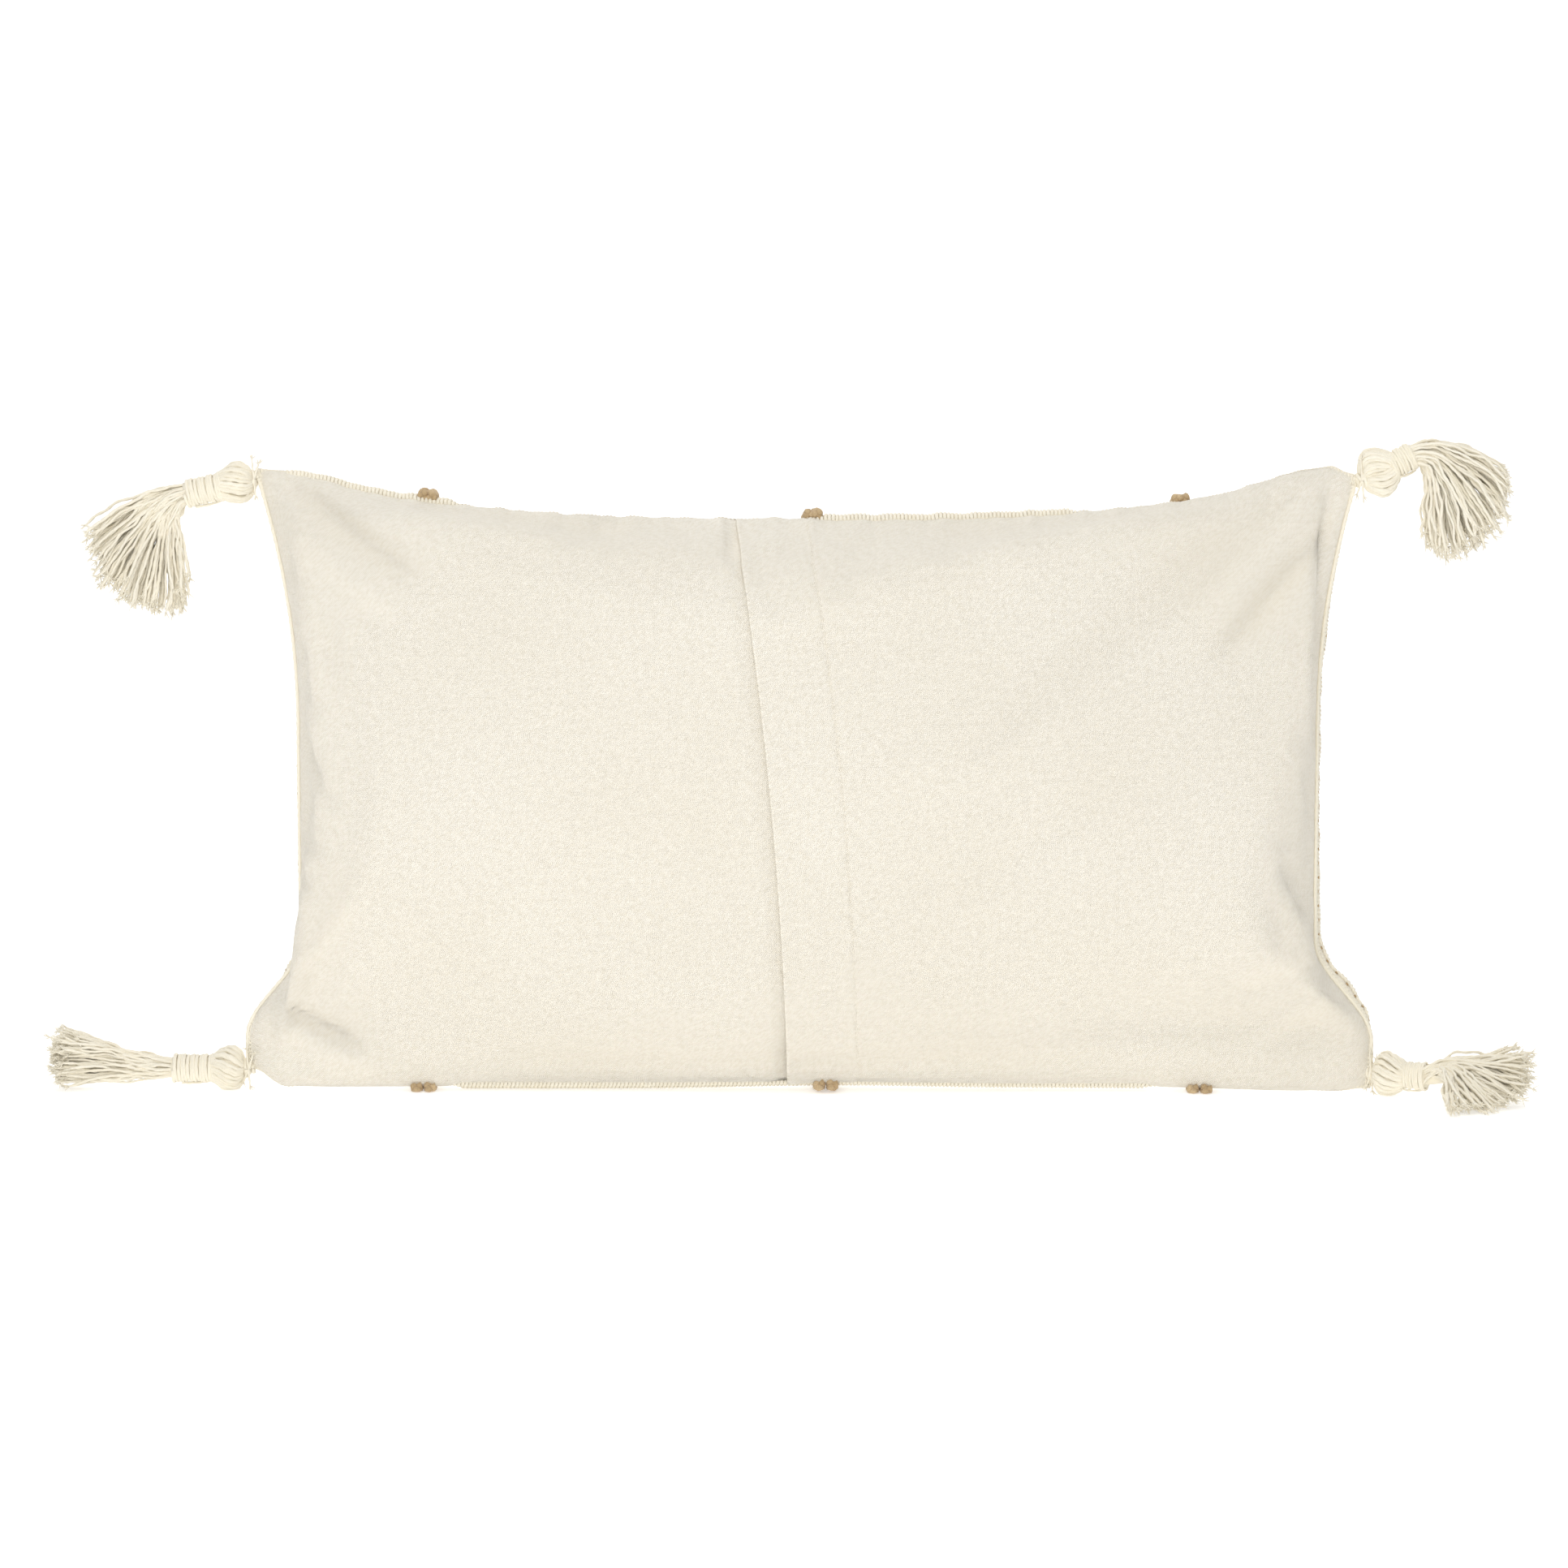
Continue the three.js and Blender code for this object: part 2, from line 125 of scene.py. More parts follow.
# Creases of the closure side: from (x, z) to (x, z), half width, height out of the face
CREASES = (
    (-0.290, 0.052, -0.236, 0.024, 0.0034, -0.0060),
    (-0.292, 0.040, -0.228, 0.012, 0.0075, 0.0055),
    (-0.286, 0.334, -0.192, 0.270, 0.0060, -0.0080),
    (-0.292, 0.322, -0.212, 0.258, 0.0080, 0.0066),
    (-0.278, 0.292, -0.240, 0.225, 0.0070, -0.0040),
    (-0.150, 0.322, -0.135, 0.290, 0.0080, 0.0030),
    (-0.115, 0.322, -0.105, 0.295, 0.0070, -0.0025),
    (-0.050, 0.318, -0.056, 0.285, 0.0080, 0.0020),
    (0.100, 0.318, 0.112, 0.280, 0.0090, 0.0022),
    (0.296, 0.325, 0.208, 0.230, 0.0065, -0.0085),
    (0.286, 0.334, 0.200, 0.239, 0.0080, 0.0042),
    (0.296, 0.286, 0.262, 0.205, 0.0075, 0.0022),
    (0.300, 0.070, 0.225, 0.020, 0.0070, 0.0040),
    (0.285, 0.078, 0.220, 0.052, 0.0060, -0.0034),
)

# Where the front's edge shows past the closure side, in x
TOP_BANDS = ((-0.288, -0.192), (0.004, 0.147))
FOOT_BAND = (-0.190, 0.187)
FRONT_REACH = 0.010
BACK_REACH = 0.007

# ---- Cloth and thread ----
CANVAS = 0.0009
PLY_GAP = 0.00015
FOLD_RADIUS = CANVAS + PLY_GAP
HEM_WIDTH = 0.0385
HEM_FOOT = -0.011
HEM_LEAN = -0.02
HEM_BEND = -0.22
UNDERLAP_REACH = 0.050
RIB_PITCH = 0.0021
RIB_HEIGHT = 0.0007
CHAIN_PITCH = 0.0046
CORDED = 0.0017
SUNK = 0.0014
# Each rope's x at its foot and at its head
ROPES = {"left": (-0.209, -0.205), "centre": (0.010, 0.003), "right": (0.213, 0.201)}
ROPE_SHIFT = 0.0034
ROPE_TWIST = 0.0135
ROPE_PLY = 0.0019
PLY_OFFSET = 0.00155

BACK = -1
FRONT = 1
UP = np.array([0.0, 0.0, 1.0])


def smooth(x):
    k = np.clip(x, 0, 1)
    return k * k * (3 - 2 * k)


def hump(x, centre, width):
    return np.exp(-(((x - centre) / width) ** 2))


def unit(v):
    return v / np.maximum(np.linalg.norm(v, axis=-1, keepdims=True), 1e-12)


def above_floor(z, softness=0.0012):
    return 0.5 * (z + np.sqrt(z * z + softness * softness))


# ---- The cover's shape before the simulation: u across it, t round its section ----
def flare(z):
    v = z / (MID_HEIGHT / 2) - 1
    top = np.clip((v - FLARE_START) / FLARE_SPAN, 0, None)
    return TOP_FLARE * top**2 + BOTTOM_FLARE * smooth((EAR_TOP - z) / (EAR_TOP - EAR_FULL))


def crown(u, t):
    """Half the cover's thickness: less towards its sides, and less above its middle than below."""
    across = np.clip(1 - np.abs(u) ** CROWN_TAPER, 0, None) ** CROWN_ROUND
    power = SECTION_FULL + SECTION_THINNING * smooth(t / (math.pi / 2) - 1)
    return CROWN * across * np.clip(np.sin(t), 0, None) ** power


def filled_cover(side, u, t):
    """One side of the filled cover, standing on its bottom seam with its corners drawn out."""
    press = FOOT_SINK * crown(u, np.full_like(t, math.pi / 2)) / CROWN
    height = MID_HEIGHT + CORNER_RISE * np.abs(u) ** 3 + press
    for rise, place, width in TOP_HUMPS:
        height = height + rise * hump(u, place, width)
    height = height - RIGHT_DROP * smooth((u - DROP_START) / (1 - DROP_START))
    at_corner = smooth((np.abs(u) - CORNER_START) / (1 - CORNER_START))
    lift = np.where(u < 0, LEFT_LIFT, RIGHT_LIFT) * at_corner
    resting = np.clip(height / 2 * (1 - np.cos(t)) - press, 0, None)
    z = lift + resting * (1 - lift / height)
    x = u * WAIST + flare(z) * u**3
    swing = EAR_SWING * smooth((u - EAR_START) / (1 - EAR_START)) * (1 - smooth(z / EAR_HEIGHT))
    y = side * crown(u, t) - swing
    by_seam = (1 - crown(u, t) / CROWN) ** 4 * (1 - np.abs(u) ** 8 * (1 - np.sin(t)))
    lifted = SEAM_OFF_FLOOR * (1 + 0.8 * hump(x, 0.01, 0.07))
    y = y - SEAM_BACKWARD * by_seam
    z = z + lifted * by_seam * np.clip(np.cos(t), 0, None)
    return np.stack([x, y, z], -1)


def arc_table(points):
    steps = np.linalg.norm(np.diff(points, axis=0), axis=1)
    along = np.concatenate([[0], np.cumsum(steps)])
    return along / along[-1]


def shape_places(s, r):
    """The (u, t) of each place (s, r) of the flat cut, spaced by length along the filled cover."""
    fine = np.linspace(-1, 1, 2001)

    def spaced(t):
        lengths = arc_table(filled_cover(BACK, fine, np.full_like(fine, t)))
        return np.interp(s, lengths, fine)

    middle = spaced(math.pi / 2)
    seam = np.where(r < 0.5, spaced(0.0), spaced(math.pi))
    u = middle + (seam - middle) * (1 - np.sin(math.pi * r) ** 0.5)
    angles = np.linspace(0, math.pi, 300)
    across, up = 60, 120
    levels = np.linspace(0, 1, up + 1)
    table = []
    for column in np.linspace(-1, 1, across + 1):
        lengths = arc_table(filled_cover(BACK, np.full_like(angles, column), angles))
        table.append(np.interp(levels, lengths, angles))
    table = np.array(table)
    a = np.clip((u + 1) / 2 * across, 0, across - 0.001)
    b = np.clip(r * up, 0, up - 0.001)
    i, j = a.astype(int), b.astype(int)
    f, g = a - i, b - j
    low = table[i, j] * (1 - f) + table[i + 1, j] * f
    high = table[i, j + 1] * (1 - f) + table[i + 1, j + 1] * f
    return u, low * (1 - g) + high * g


def grid_quads(index, flip):
    a, b, c, d = index[:-1, :-1], index[1:, :-1], index[1:, 1:], index[:-1, 1:]
    order = [a, d, c, b] if flip else [a, b, c, d]
    return np.stack(order, -1).reshape(-1, 4)


def volume(points, quads):
    tris = np.concatenate([quads[:, [0, 1, 2]], quads[:, [0, 2, 3]]])
    a, b, c = points[tris[:, 0]], points[tris[:, 1]], points[tris[:, 2]]
    return float(np.einsum("ij,ij->i", a, np.cross(b, c)).sum() / 6)


def run_cloth(flat, filled, quads, seam):
    """The flat cut, sewn all round, filled to the cover's volume while its seam moves to its place."""
    mesh = bpy.data.meshes.new("cover_cloth")
    mesh.from_pydata(flat.tolist(), [], quads.tolist())
    cloth = add_object("cover_cloth", mesh)
    cloth.shape_key_add(name="Flat")
    key = cloth.shape_key_add(name="Filled")
    key.data.foreach_set("co", filled.ravel())
    for at, value in ((1, 0.0), (FILLING_FRAMES, 1.0)):
        key.value = value
        key.keyframe_insert("value", frame=at)
    cloth.vertex_groups.new(name="seam").add(seam.tolist(), 1.0, "REPLACE")
    modifier = cloth.modifiers.new("Cloth", "CLOTH")
    settings = modifier.settings
    for setting, amount in CLOTH.items():
        setattr(settings, setting, amount)
    settings.target_volume = volume(filled, quads)
    settings.effector_weights.gravity = 0
    modifier.collision_settings.use_collision = False
    modifier.point_cache.frame_end = CLOTH_FRAMES
    for at in range(1, CLOTH_FRAMES + 1):
        bpy.context.scene.frame_set(at)
    shaped = cloth.evaluated_get(bpy.context.evaluated_depsgraph_get())
    out = np.array([v.co for v in shaped.data.vertices])
    bpy.context.scene.frame_set(1)
    bpy.data.objects.remove(cloth)
    bpy.data.meshes.remove(mesh)
    return out


def cut_places(cell):
    """The places (s, r) of a grid over the flat cut."""
    across, up = round(WIDTH / cell), round(HEIGHT / cell)
    return np.meshgrid(np.linspace(0, 1, across + 1), np.linspace(0, 1, up + 1), indexing="ij")


def joined_border(s):
    """Numbers of the front's and the back's grid points, which share the border's."""
    border = np.ones(s.shape, bool)
    border[1:-1, 1:-1] = False
    front = np.arange(s.size).reshape(s.shape)
    back = front.copy()
    back[~border] = s.size + np.arange((~border).sum())
    return border, front, back


def cover_grids():
    """The front's and the back's points over the flat cut, after the cloth simulation."""
    s, r = cut_places(CLOTH_CELL)
    u, t = shape_places(s, r)
    front, back = filled_cover(FRONT, u, t), filled_cover(BACK, u, t)
    border, front_index, back_index = joined_border(s)
    filled = np.concatenate([front.reshape(-1, 3), back[~border]])
    inset = seam_distance(s, r)
    puff = START_PUFF * np.minimum(1, inset / PUFF_REACH)
    sheet = np.stack([(s - 0.5) * WIDTH, puff, r * HEIGHT], -1)
    under = sheet * [1, -1, 1]
    flat = np.concatenate([sheet.reshape(-1, 3), under[~border]])
    quads = np.concatenate([grid_quads(back_index, False), grid_quads(front_index, True)])
    moved = run_cloth(flat, filled, quads, front_index[border]) - filled
    inset = np.concatenate([inset.ravel(), inset[~border]])
    moved = moved * (SEAM_SHARE + (1 - SEAM_SHARE) * smooth(inset / SHARE_REACH))[:, None]
    size = np.linalg.norm(moved, axis=1, keepdims=True)
    filled = filled + moved * np.minimum(1, MOST_MOVE / np.maximum(size, 1e-9))
    return finished_cover(filled[front_index], filled[back_index])


def finished_cover(front, back):
    """Both sides on a finer grid, off the floor and each other, with creases and the front's roll."""
    s, r = cut_places(FINE_CELL)
    front, back = Surface(front, FRONT).at(s, r), Surface(back, BACK).at(s, r)
    inset = seam_distance(s, r)
    middle = (front[..., 1] + back[..., 1]) / 2
    half = (front[..., 1] - back[..., 1]) / 2
    half = np.maximum(half, LEAST_HALF * smooth(inset / HALF_REACH))
    front[..., 1] = middle + half
    back[..., 1] = middle - half
    for x0, z0, x1, z1, width, height in CREASES:
        back[..., 1] -= height * crease(back, x0, z0, x1, z1, width) * smooth(inset / CREASE_REACH)
    x, from_top = (s - 0.5) * WIDTH, (1 - r) * HEIGHT
    pucker = sum(share * np.sin(waves * x + phase) for waves, phase, share in GATHERS)
    pucker = PUCKER * pucker * (1 - np.abs(2 * s - 1) ** 6)
    back[..., 1] -= pucker * hump(from_top, 0, PUCKER_REACH) * smooth(from_top / 0.005)
    for grid, side in ((front, FRONT), (back, BACK)):
        grid[..., 2] += 0.5 * pucker * np.exp(-from_top / 0.012)
        roll_out(grid, side, s, r)
        grid[..., 2] = above_floor(grid[..., 2])
    return front, back


def seam_distance(s, r):
    """How far a place of the flat cut is from the nearest seam."""
    return np.minimum(np.minimum(s, 1 - s) * WIDTH, np.minimum(r, 1 - r) * HEIGHT)


def crease(grid, x0, z0, x1, z1, width):
    """A soft ridge along a line seen from the closure side, fading out at both ends."""
    line = np.array([x1 - x0, z1 - z0])
    length = np.hypot(*line)
    line = line / length
    dx, dz = grid[..., 0] - x0, grid[..., 2] - z0
    along = dx * line[0] + dz * line[1]
    beside = dx * line[1] - dz * line[0]
    fade = smooth(along / (0.3 * length)) * smooth((length - along) / (0.35 * length))
    return np.exp(-((beside / width) ** 2)) * fade


def stretch(x, low, high, fade=0.012):
    """1 between two places along a seam, fading to 0 outside them."""
    return smooth((x - low) / fade + 0.5) * smooth((high - x) / fade + 0.5)


def band_at_top(x):
    """Where the front's edge shows above the closure side along the top seam."""
    return sum(stretch(x, low, high) for low, high in TOP_BANDS)


def band_at_foot(x):
    return stretch(x, *FOOT_BAND)


def band_at_side(s, r):
    """The same for the two side seams, at heights r from 0 to 1."""
    left = 0.8 * stretch(r, 0.32, 0.97, 0.08) + 1.1 * stretch(r, 0.16, 0.24, 0.05)
    right = 0.9 * stretch(r, 0.07, 0.97, 0.08) + 1.6 * hump(r, 0.17, 0.07) + 0.5 * hump(r, 0.80, 0.16)
    return np.where(s < 0.5, left, right)


def roll_out(grid, side, s, r):
    """Along each seam one side of the cover rolls out past the other: the front where its band shows."""
    reach = FRONT_REACH if side == FRONT else BACK_REACH

    def roll(distance):
        return distance / reach * np.exp(1 - distance / reach)

    x = (s - 0.5) * WIDTH
    top, foot, ends = band_at_top(x), band_at_foot(x), band_at_side(s, r)
    if side == FRONT:
        top, foot, ends = 0.0045 * top - 0.001, 0.0040 * foot - 0.001, 0.0042 * ends - 0.001
    else:
        top, foot, ends = (0.0016 * np.clip(1 - share, 0, 1) for share in (top, foot, ends))
    top, foot = (amount * (1 - np.abs(2 * s - 1) ** 20) for amount in (top, foot))
    ends = ends * (1 - np.abs(2 * r - 1) ** 8)
    grid[..., 2] += top * roll((1 - r) * HEIGHT) - foot * roll(r * HEIGHT)
    grid[..., 0] += ends * (roll((1 - s) * WIDTH) - roll(s * WIDTH))


# ---- Smooth surfaces through the cover's grids ----
def spline(x, count):
    """The first of four grid points round each x, and the four points' weights."""
    cell = np.clip(np.floor(x), 0, count - 2).astype(int)
    f = x - cell
    weights = [
        (-f + 2 * f**2 - f**3) / 2,
        (2 - 5 * f**2 + 3 * f**3) / 2,
        (f + 4 * f**2 - 3 * f**3) / 2,
        (-(f**2) + f**3) / 2,
    ]
    return cell, weights


class Surface:
    """A smooth sheet through a grid of points, by place (s, r) from 0 to 1."""

    def __init__(self, grid, side):
        self.side = side
        self.shape = grid.shape[:2]
        g = np.pad(grid, ((1, 1), (1, 1), (0, 0)), mode="edge")
        g[0], g[-1] = 2 * g[1] - g[2], 2 * g[-2] - g[-3]
        g[:, 0], g[:, -1] = 2 * g[:, 1] - g[:, 2], 2 * g[:, -2] - g[:, -3]
        self.grid = g

    def at(self, s, r):
        s, r = np.broadcast_arrays(np.clip(s, 0, 1), np.clip(r, 0, 1))
        i, wi = spline(s * (self.shape[0] - 1), self.shape[0])
        j, wj = spline(r * (self.shape[1] - 1), self.shape[1])
        total = 0
        for a in range(4):
            for b in range(4):
                total = total + self.grid[i + a, j + b] * (wi[a] * wj[b])[..., None]
        return total

    def normal(self, s, r):
        step = 0.004
        across = self.at(s + step, r) - self.at(s - step, r)
        up = self.at(s, r + step) - self.at(s, r - step)
        return unit(np.cross(up, across)) * self.side

    def off(self, s, r, lift):
        lift = np.broadcast_to(lift, np.broadcast(s, r).shape)
        return self.at(s, r) + self.normal(s, r) * lift[..., None]


# ---- Meshes ----
def add_object(name, data):
    obj = bpy.data.objects.new(name, data)
    bpy.context.scene.collection.objects.link(obj)
    return obj


def add_mesh(name, points, quads, material, uv=None, tone=None):
    points = np.asarray(points, np.float32).reshape(-1, 3)
    quads = np.asarray(quads, np.int32)
    mesh = bpy.data.meshes.new(name)
    mesh.vertices.add(len(points))
    mesh.vertices.foreach_set("co", points.ravel())
    mesh.loops.add(quads.size)
    mesh.loops.foreach_set("vertex_index", quads.ravel())
    mesh.polygons.add(len(quads))
    mesh.polygons.foreach_set("loop_start", np.arange(0, quads.size, 4, dtype=np.int32))
    mesh.update(calc_edges=True)
    mesh.shade_smooth()
    if uv is not None:
        layer = mesh.uv_layers.new(name="UVMap")
        layer.uv.foreach_set("vector", np.asarray(uv, np.float32)[quads.ravel()].ravel())
    if tone is not None:
        tones = mesh.attributes.new("tone", "FLOAT", "POINT").data
        tones.foreach_set("value", np.asarray(tone, np.float32))
    mesh.materials.append(material)
    return add_object(name, mesh)


def shell(outer, inner, flip):
    """Points and quads of the closed sheet between two grids of points."""
    m, n = outer.shape[:2]
    top = np.arange(m * n).reshape(m, n)
    low = top + m * n
    quads = [grid_quads(top, flip), grid_quads(low, not flip)]
    rim = np.concatenate([top[:-1, 0], top[-1, :-1], top[:0:-1, -1], top[0, :0:-1]])
    following = np.roll(rim, -1)
    wall = np.stack([rim, rim + m * n, following + m * n, following], -1)
    quads.append(wall[:, ::-1] if flip else wall)
    return np.concatenate([outer.reshape(-1, 3), inner.reshape(-1, 3)]), np.concatenate(quads)


def frames_along(paths):
    """Two steady cross directions, and the length so far, along paths (k, n, 3)."""
    tangent = unit(np.gradient(paths, axis=1))
    helper = np.where(np.abs(tangent[:, :1, 2:]) < 0.9, UP, np.array([1.0, 0.0, 0.0]))
    across = np.cross(tangent[:, 0], helper[:, 0])
    first = np.empty_like(paths)
    for k in range(paths.shape[1]):
        across = across - tangent[:, k] * np.sum(across * tangent[:, k], -1, keepdims=True)
        across = unit(across)
        first[:, k] = across
    steps = np.linalg.norm(np.diff(paths, axis=1), axis=-1)
    length = np.concatenate([np.zeros((len(paths), 1)), np.cumsum(steps, 1)], 1)
    return first, np.cross(tangent, first), length


def tubes(paths, radius, sides=8, lobes=0, depth=0.0, pitch=0.005):
    """Closed tubes along many paths at once; lobes turn once per pitch, as the plies of a yarn do."""
    paths = np.asarray(paths, float)
    k, n = paths.shape[:2]
    first, second, length = frames_along(paths)
    radius = np.broadcast_to(np.asarray(radius, float), (k, n))
    theta = np.arange(sides) * 2 * math.pi / sides
    turn = length[..., None] * 2 * math.pi / pitch + rng.uniform(0, 6, (k, 1, 1))
    swell = 1 + depth * np.cos(lobes * theta - turn) if lobes else np.ones((k, n, sides))
    r = radius[..., None] * swell
    ring = first[:, :, None] * np.cos(theta)[:, None] + second[:, :, None] * np.sin(theta)[:, None]
    points = paths[:, :, None] + ring * r[..., None]
    index = np.arange(k * n * sides).reshape(k, n, sides)
    a, b = index[:, :-1], index[:, 1:]
    a2, b2 = np.roll(a, -1, -1), np.roll(b, -1, -1)
    quads = [np.stack([a, a2, b2, b], -1).reshape(-1, 4)]
    for end, order in ((0, [0, 3, 2, 1]), (-1, [0, 1, 2, 3])):
        rim = index[:, end]
        for j in range(1, sides // 2):
            corners = [0, 2 * j - 1, 2 * j, (2 * j + 1) % sides]
            quads.append(rim[:, corners][:, order])
    return points.reshape(-1, 3), np.concatenate(quads)


class Bundle:
    """Gathers tubes into one mesh, with a colour tone for each."""

    def __init__(self):
        self.points, self.quads, self.tone, self.count = [], [], [], 0

    def add(self, paths, radius, tone=None, **shape):
        paths = np.asarray(paths, float)
        points, quads = tubes(paths, radius, **shape)
        tone = rng.uniform(0, 1, len(paths)) if tone is None else np.full(len(paths), tone)
        self.tone.append(np.repeat(tone, len(points) // len(paths)))
        self.points.append(points)
        self.quads.append(quads + self.count)
        self.count += len(points)

    def mesh(self, name, material):
        points = np.concatenate(self.points)
        points[:, 2] = np.maximum(points[:, 2], 0.0)
        quads, tone = np.concatenate(self.quads), np.concatenate(self.tone)
        return add_mesh(name, points, quads, material, tone=tone)


def plied(path, plies, offset, pitch, phase=0.0):
    """Paths of the plies twisted round one path (n, 3)."""
    first, second, length = frames_along(path[None])
    start = phase + np.arange(plies)[:, None] * 2 * math.pi / plies
    turn = length[0][None] * 2 * math.pi / pitch + start
    around = first[0] * np.cos(turn)[..., None] + second[0] * np.sin(turn)[..., None]
    return path[None] + around * offset


# ---- Materials ----
class Nodes:
    """A material and short ways to add nodes to it."""

    def __init__(self, name):
        self.material = bpy.data.materials.new(name)
        self.material.use_nodes = True
        self.tree = self.material.node_tree
        self.shader = self.tree.nodes["Principled BSDF"]

    def add(self, kind, **values):
        node = self.tree.nodes.new(kind)
        for key, value in values.items():
            setattr(node, key, value)
        return node

    def link(self, output, socket):
        self.tree.links.new(output, socket)

    def fill(self, socket, value):
        if isinstance(value, bpy.types.NodeSocket):
            self.link(value, socket)
        else:
            socket.default_value = value

    def maths(self, operation, a, b=0.0, c=0.0):
        node = self.add("ShaderNodeMath", operation=operation)
        for socket, value in zip(node.inputs, (a, b, c)):
            self.fill(socket, value)
        return node.outputs[0]

    def drawn_out(self, *axes):
        """A place for a noise, from (coordinate, cycles per metre) for its x and y."""
        node = self.add("ShaderNodeCombineXYZ")
        for socket, (along, per_metre) in zip(node.inputs, axes):
            self.link(self.maths("MULTIPLY", along, per_metre), socket)
        return node.outputs[0]

    def noise(self, place, scale, detail=2.0):
        node = self.add("ShaderNodeTexNoise")
        self.link(place, node.inputs["Vector"])
        node.inputs["Scale"].default_value = scale
        node.inputs["Detail"].default_value = detail
        return node.outputs["Fac"]

    def span(self, value, low, high, to_low=0.0, to_high=1.0):
        node = self.add("ShaderNodeMapRange")
        for socket, v in zip(node.inputs, (value, low, high, to_low, to_high)):
            self.fill(socket, v)
        return node.outputs[0]

    def mix(self, factor, a, b):
        node = self.add("ShaderNodeMix", data_type="RGBA")
        self.fill(node.inputs[0], factor)
        for socket, color in ((6, a), (7, b)):
            given = isinstance(color, bpy.types.NodeSocket)
            self.fill(node.inputs[socket], color if given else (*color, 1))
        return node.outputs[2]

    def bump(self, height, distance, below=None):
        node = self.add("ShaderNodeBump")
        node.inputs["Strength"].default_value = 1.0
        node.inputs["Distance"].default_value = distance
        self.link(height, node.inputs["Height"])
        if below is not None:
            self.link(below, node.inputs["Normal"])
        return node.outputs[0]

    def finish(self, color, normal, roughness=0.92, sheen=0.15):
        self.fill(self.shader.inputs["Base Color"], color)
        if normal is not None:
            self.link(normal, self.shader.inputs["Normal"])
        values = {"Roughness": roughness, "Sheen Weight": sheen, "Sheen Roughness": 0.5}
        for key, value in {"Specular IOR Level": 0.2, **values}.items():
            self.shader.inputs[key].default_value = value
        return self.material


def woven(name, color, dark_tone_and_shade, pitch, fleck_share):
    """Plain weave on the flat cut's coordinates, with slubs, cloudy tone, painted shade in the weave's
    hollows and a few dark seed flecks.
    """
    n = Nodes(name)
    uv = n.add("ShaderNodeUVMap", uv_map="UVMap").outputs[0]
    parts = n.add("ShaderNodeSeparateXYZ")
    n.link(uv, parts.inputs[0])
    across, up, _ = parts.outputs
    leaning, rising = n.maths("SUBTRACT", up, across), n.maths("ADD", up, across)
    wander = n.maths("MULTIPLY", n.maths("SUBTRACT", n.noise(uv, 260.0), 0.5), 2.2)

    def wave(along):
        return n.maths("SINE", n.maths("MULTIPLY_ADD", along, 2 * math.pi / pitch, wander))

    warp, weft, twill = wave(across), wave(up), wave(leaning)
    weave = n.maths("MULTIPLY_ADD", warp, weft, n.maths("MULTIPLY", twill, 0.7))
    slub = n.noise(n.drawn_out((across, 45.0), (up, 900.0)), 1.0, 3.0)
    slub_up = n.noise(n.drawn_out((across, 1100.0), (up, 70.0)), 1.0, 2.0)
    threads = n.maths("ADD", n.span(slub, 0.35, 0.75), n.maths("MULTIPLY", n.span(slub_up, 0.4, 0.8), 0.6))
    normal = n.bump(threads, 0.00020, n.bump(weave, 0.00009))
    cloudy = n.noise(uv, 9.0, 4.0)
    tone = n.mix(n.span(cloudy, 0.3, 0.7, 0.0, 0.35), color, dark_tone_and_shade)
    # Painted shade: the colour goes towards the darker colour where the weave dips, in the hollows between
    # threads
    tone = n.mix(n.span(weave, 0.6, -1.6, 0.0, 0.8), tone, dark_tone_and_shade)
    grain = n.noise(n.drawn_out((leaning, 560.0), (rising, 210.0)), 1.0, 3.0)
    tone = n.mix(n.span(grain, 0.42, 0.64, 0.0, 0.62), tone, dark_tone_and_shade)
    cells = n.add("ShaderNodeTexVoronoi", feature="F1")
    n.link(uv, cells.inputs["Vector"])
    cells.inputs["Scale"].default_value = 26.0
    pick = n.add("ShaderNodeSeparateColor")
    n.link(cells.outputs["Color"], pick.inputs[0])
    near = n.maths("LESS_THAN", cells.outputs["Distance"], 0.016)
    chosen = n.maths("LESS_THAN", pick.outputs[0], fleck_share)
    fleck = n.maths("MULTIPLY", n.maths("MULTIPLY", near, chosen), 0.55)
    return n.finish(n.mix(fleck, tone, (0.20, 0.17, 0.13)), normal)


def fibrous(name, light, dark, scale, depth, roughness=0.9, sheen=0.25):
    """Twisted fibre: a tone per strand, with a fine grain."""
    n = Nodes(name)
    place = n.add("ShaderNodeTexCoord").outputs["Object"]
    grain = n.noise(place, scale, 3.0)
    tone = n.add("ShaderNodeAttribute", attribute_name="tone").outputs["Fac"]
    base = n.mix(n.maths("MULTIPLY", tone, 0.75), light, dark)
    base = n.mix(n.span(grain, 0.35, 0.75, 0.0, 0.55), base, dark)
    return n.finish(base, n.bump(grain, depth), roughness, sheen)


# Canvas: its own colour, then a darker colour for its random tones and for painted shade in the weave's
# hollows
canvas = woven("canvas", (0.94, 0.90, 0.815), (0.81, 0.75, 0.625), 0.00106, 0.10)
corded = fibrous("corded_cotton", (0.87, 0.815, 0.70), (0.78, 0.71, 0.57), 1500.0, 0.0002)
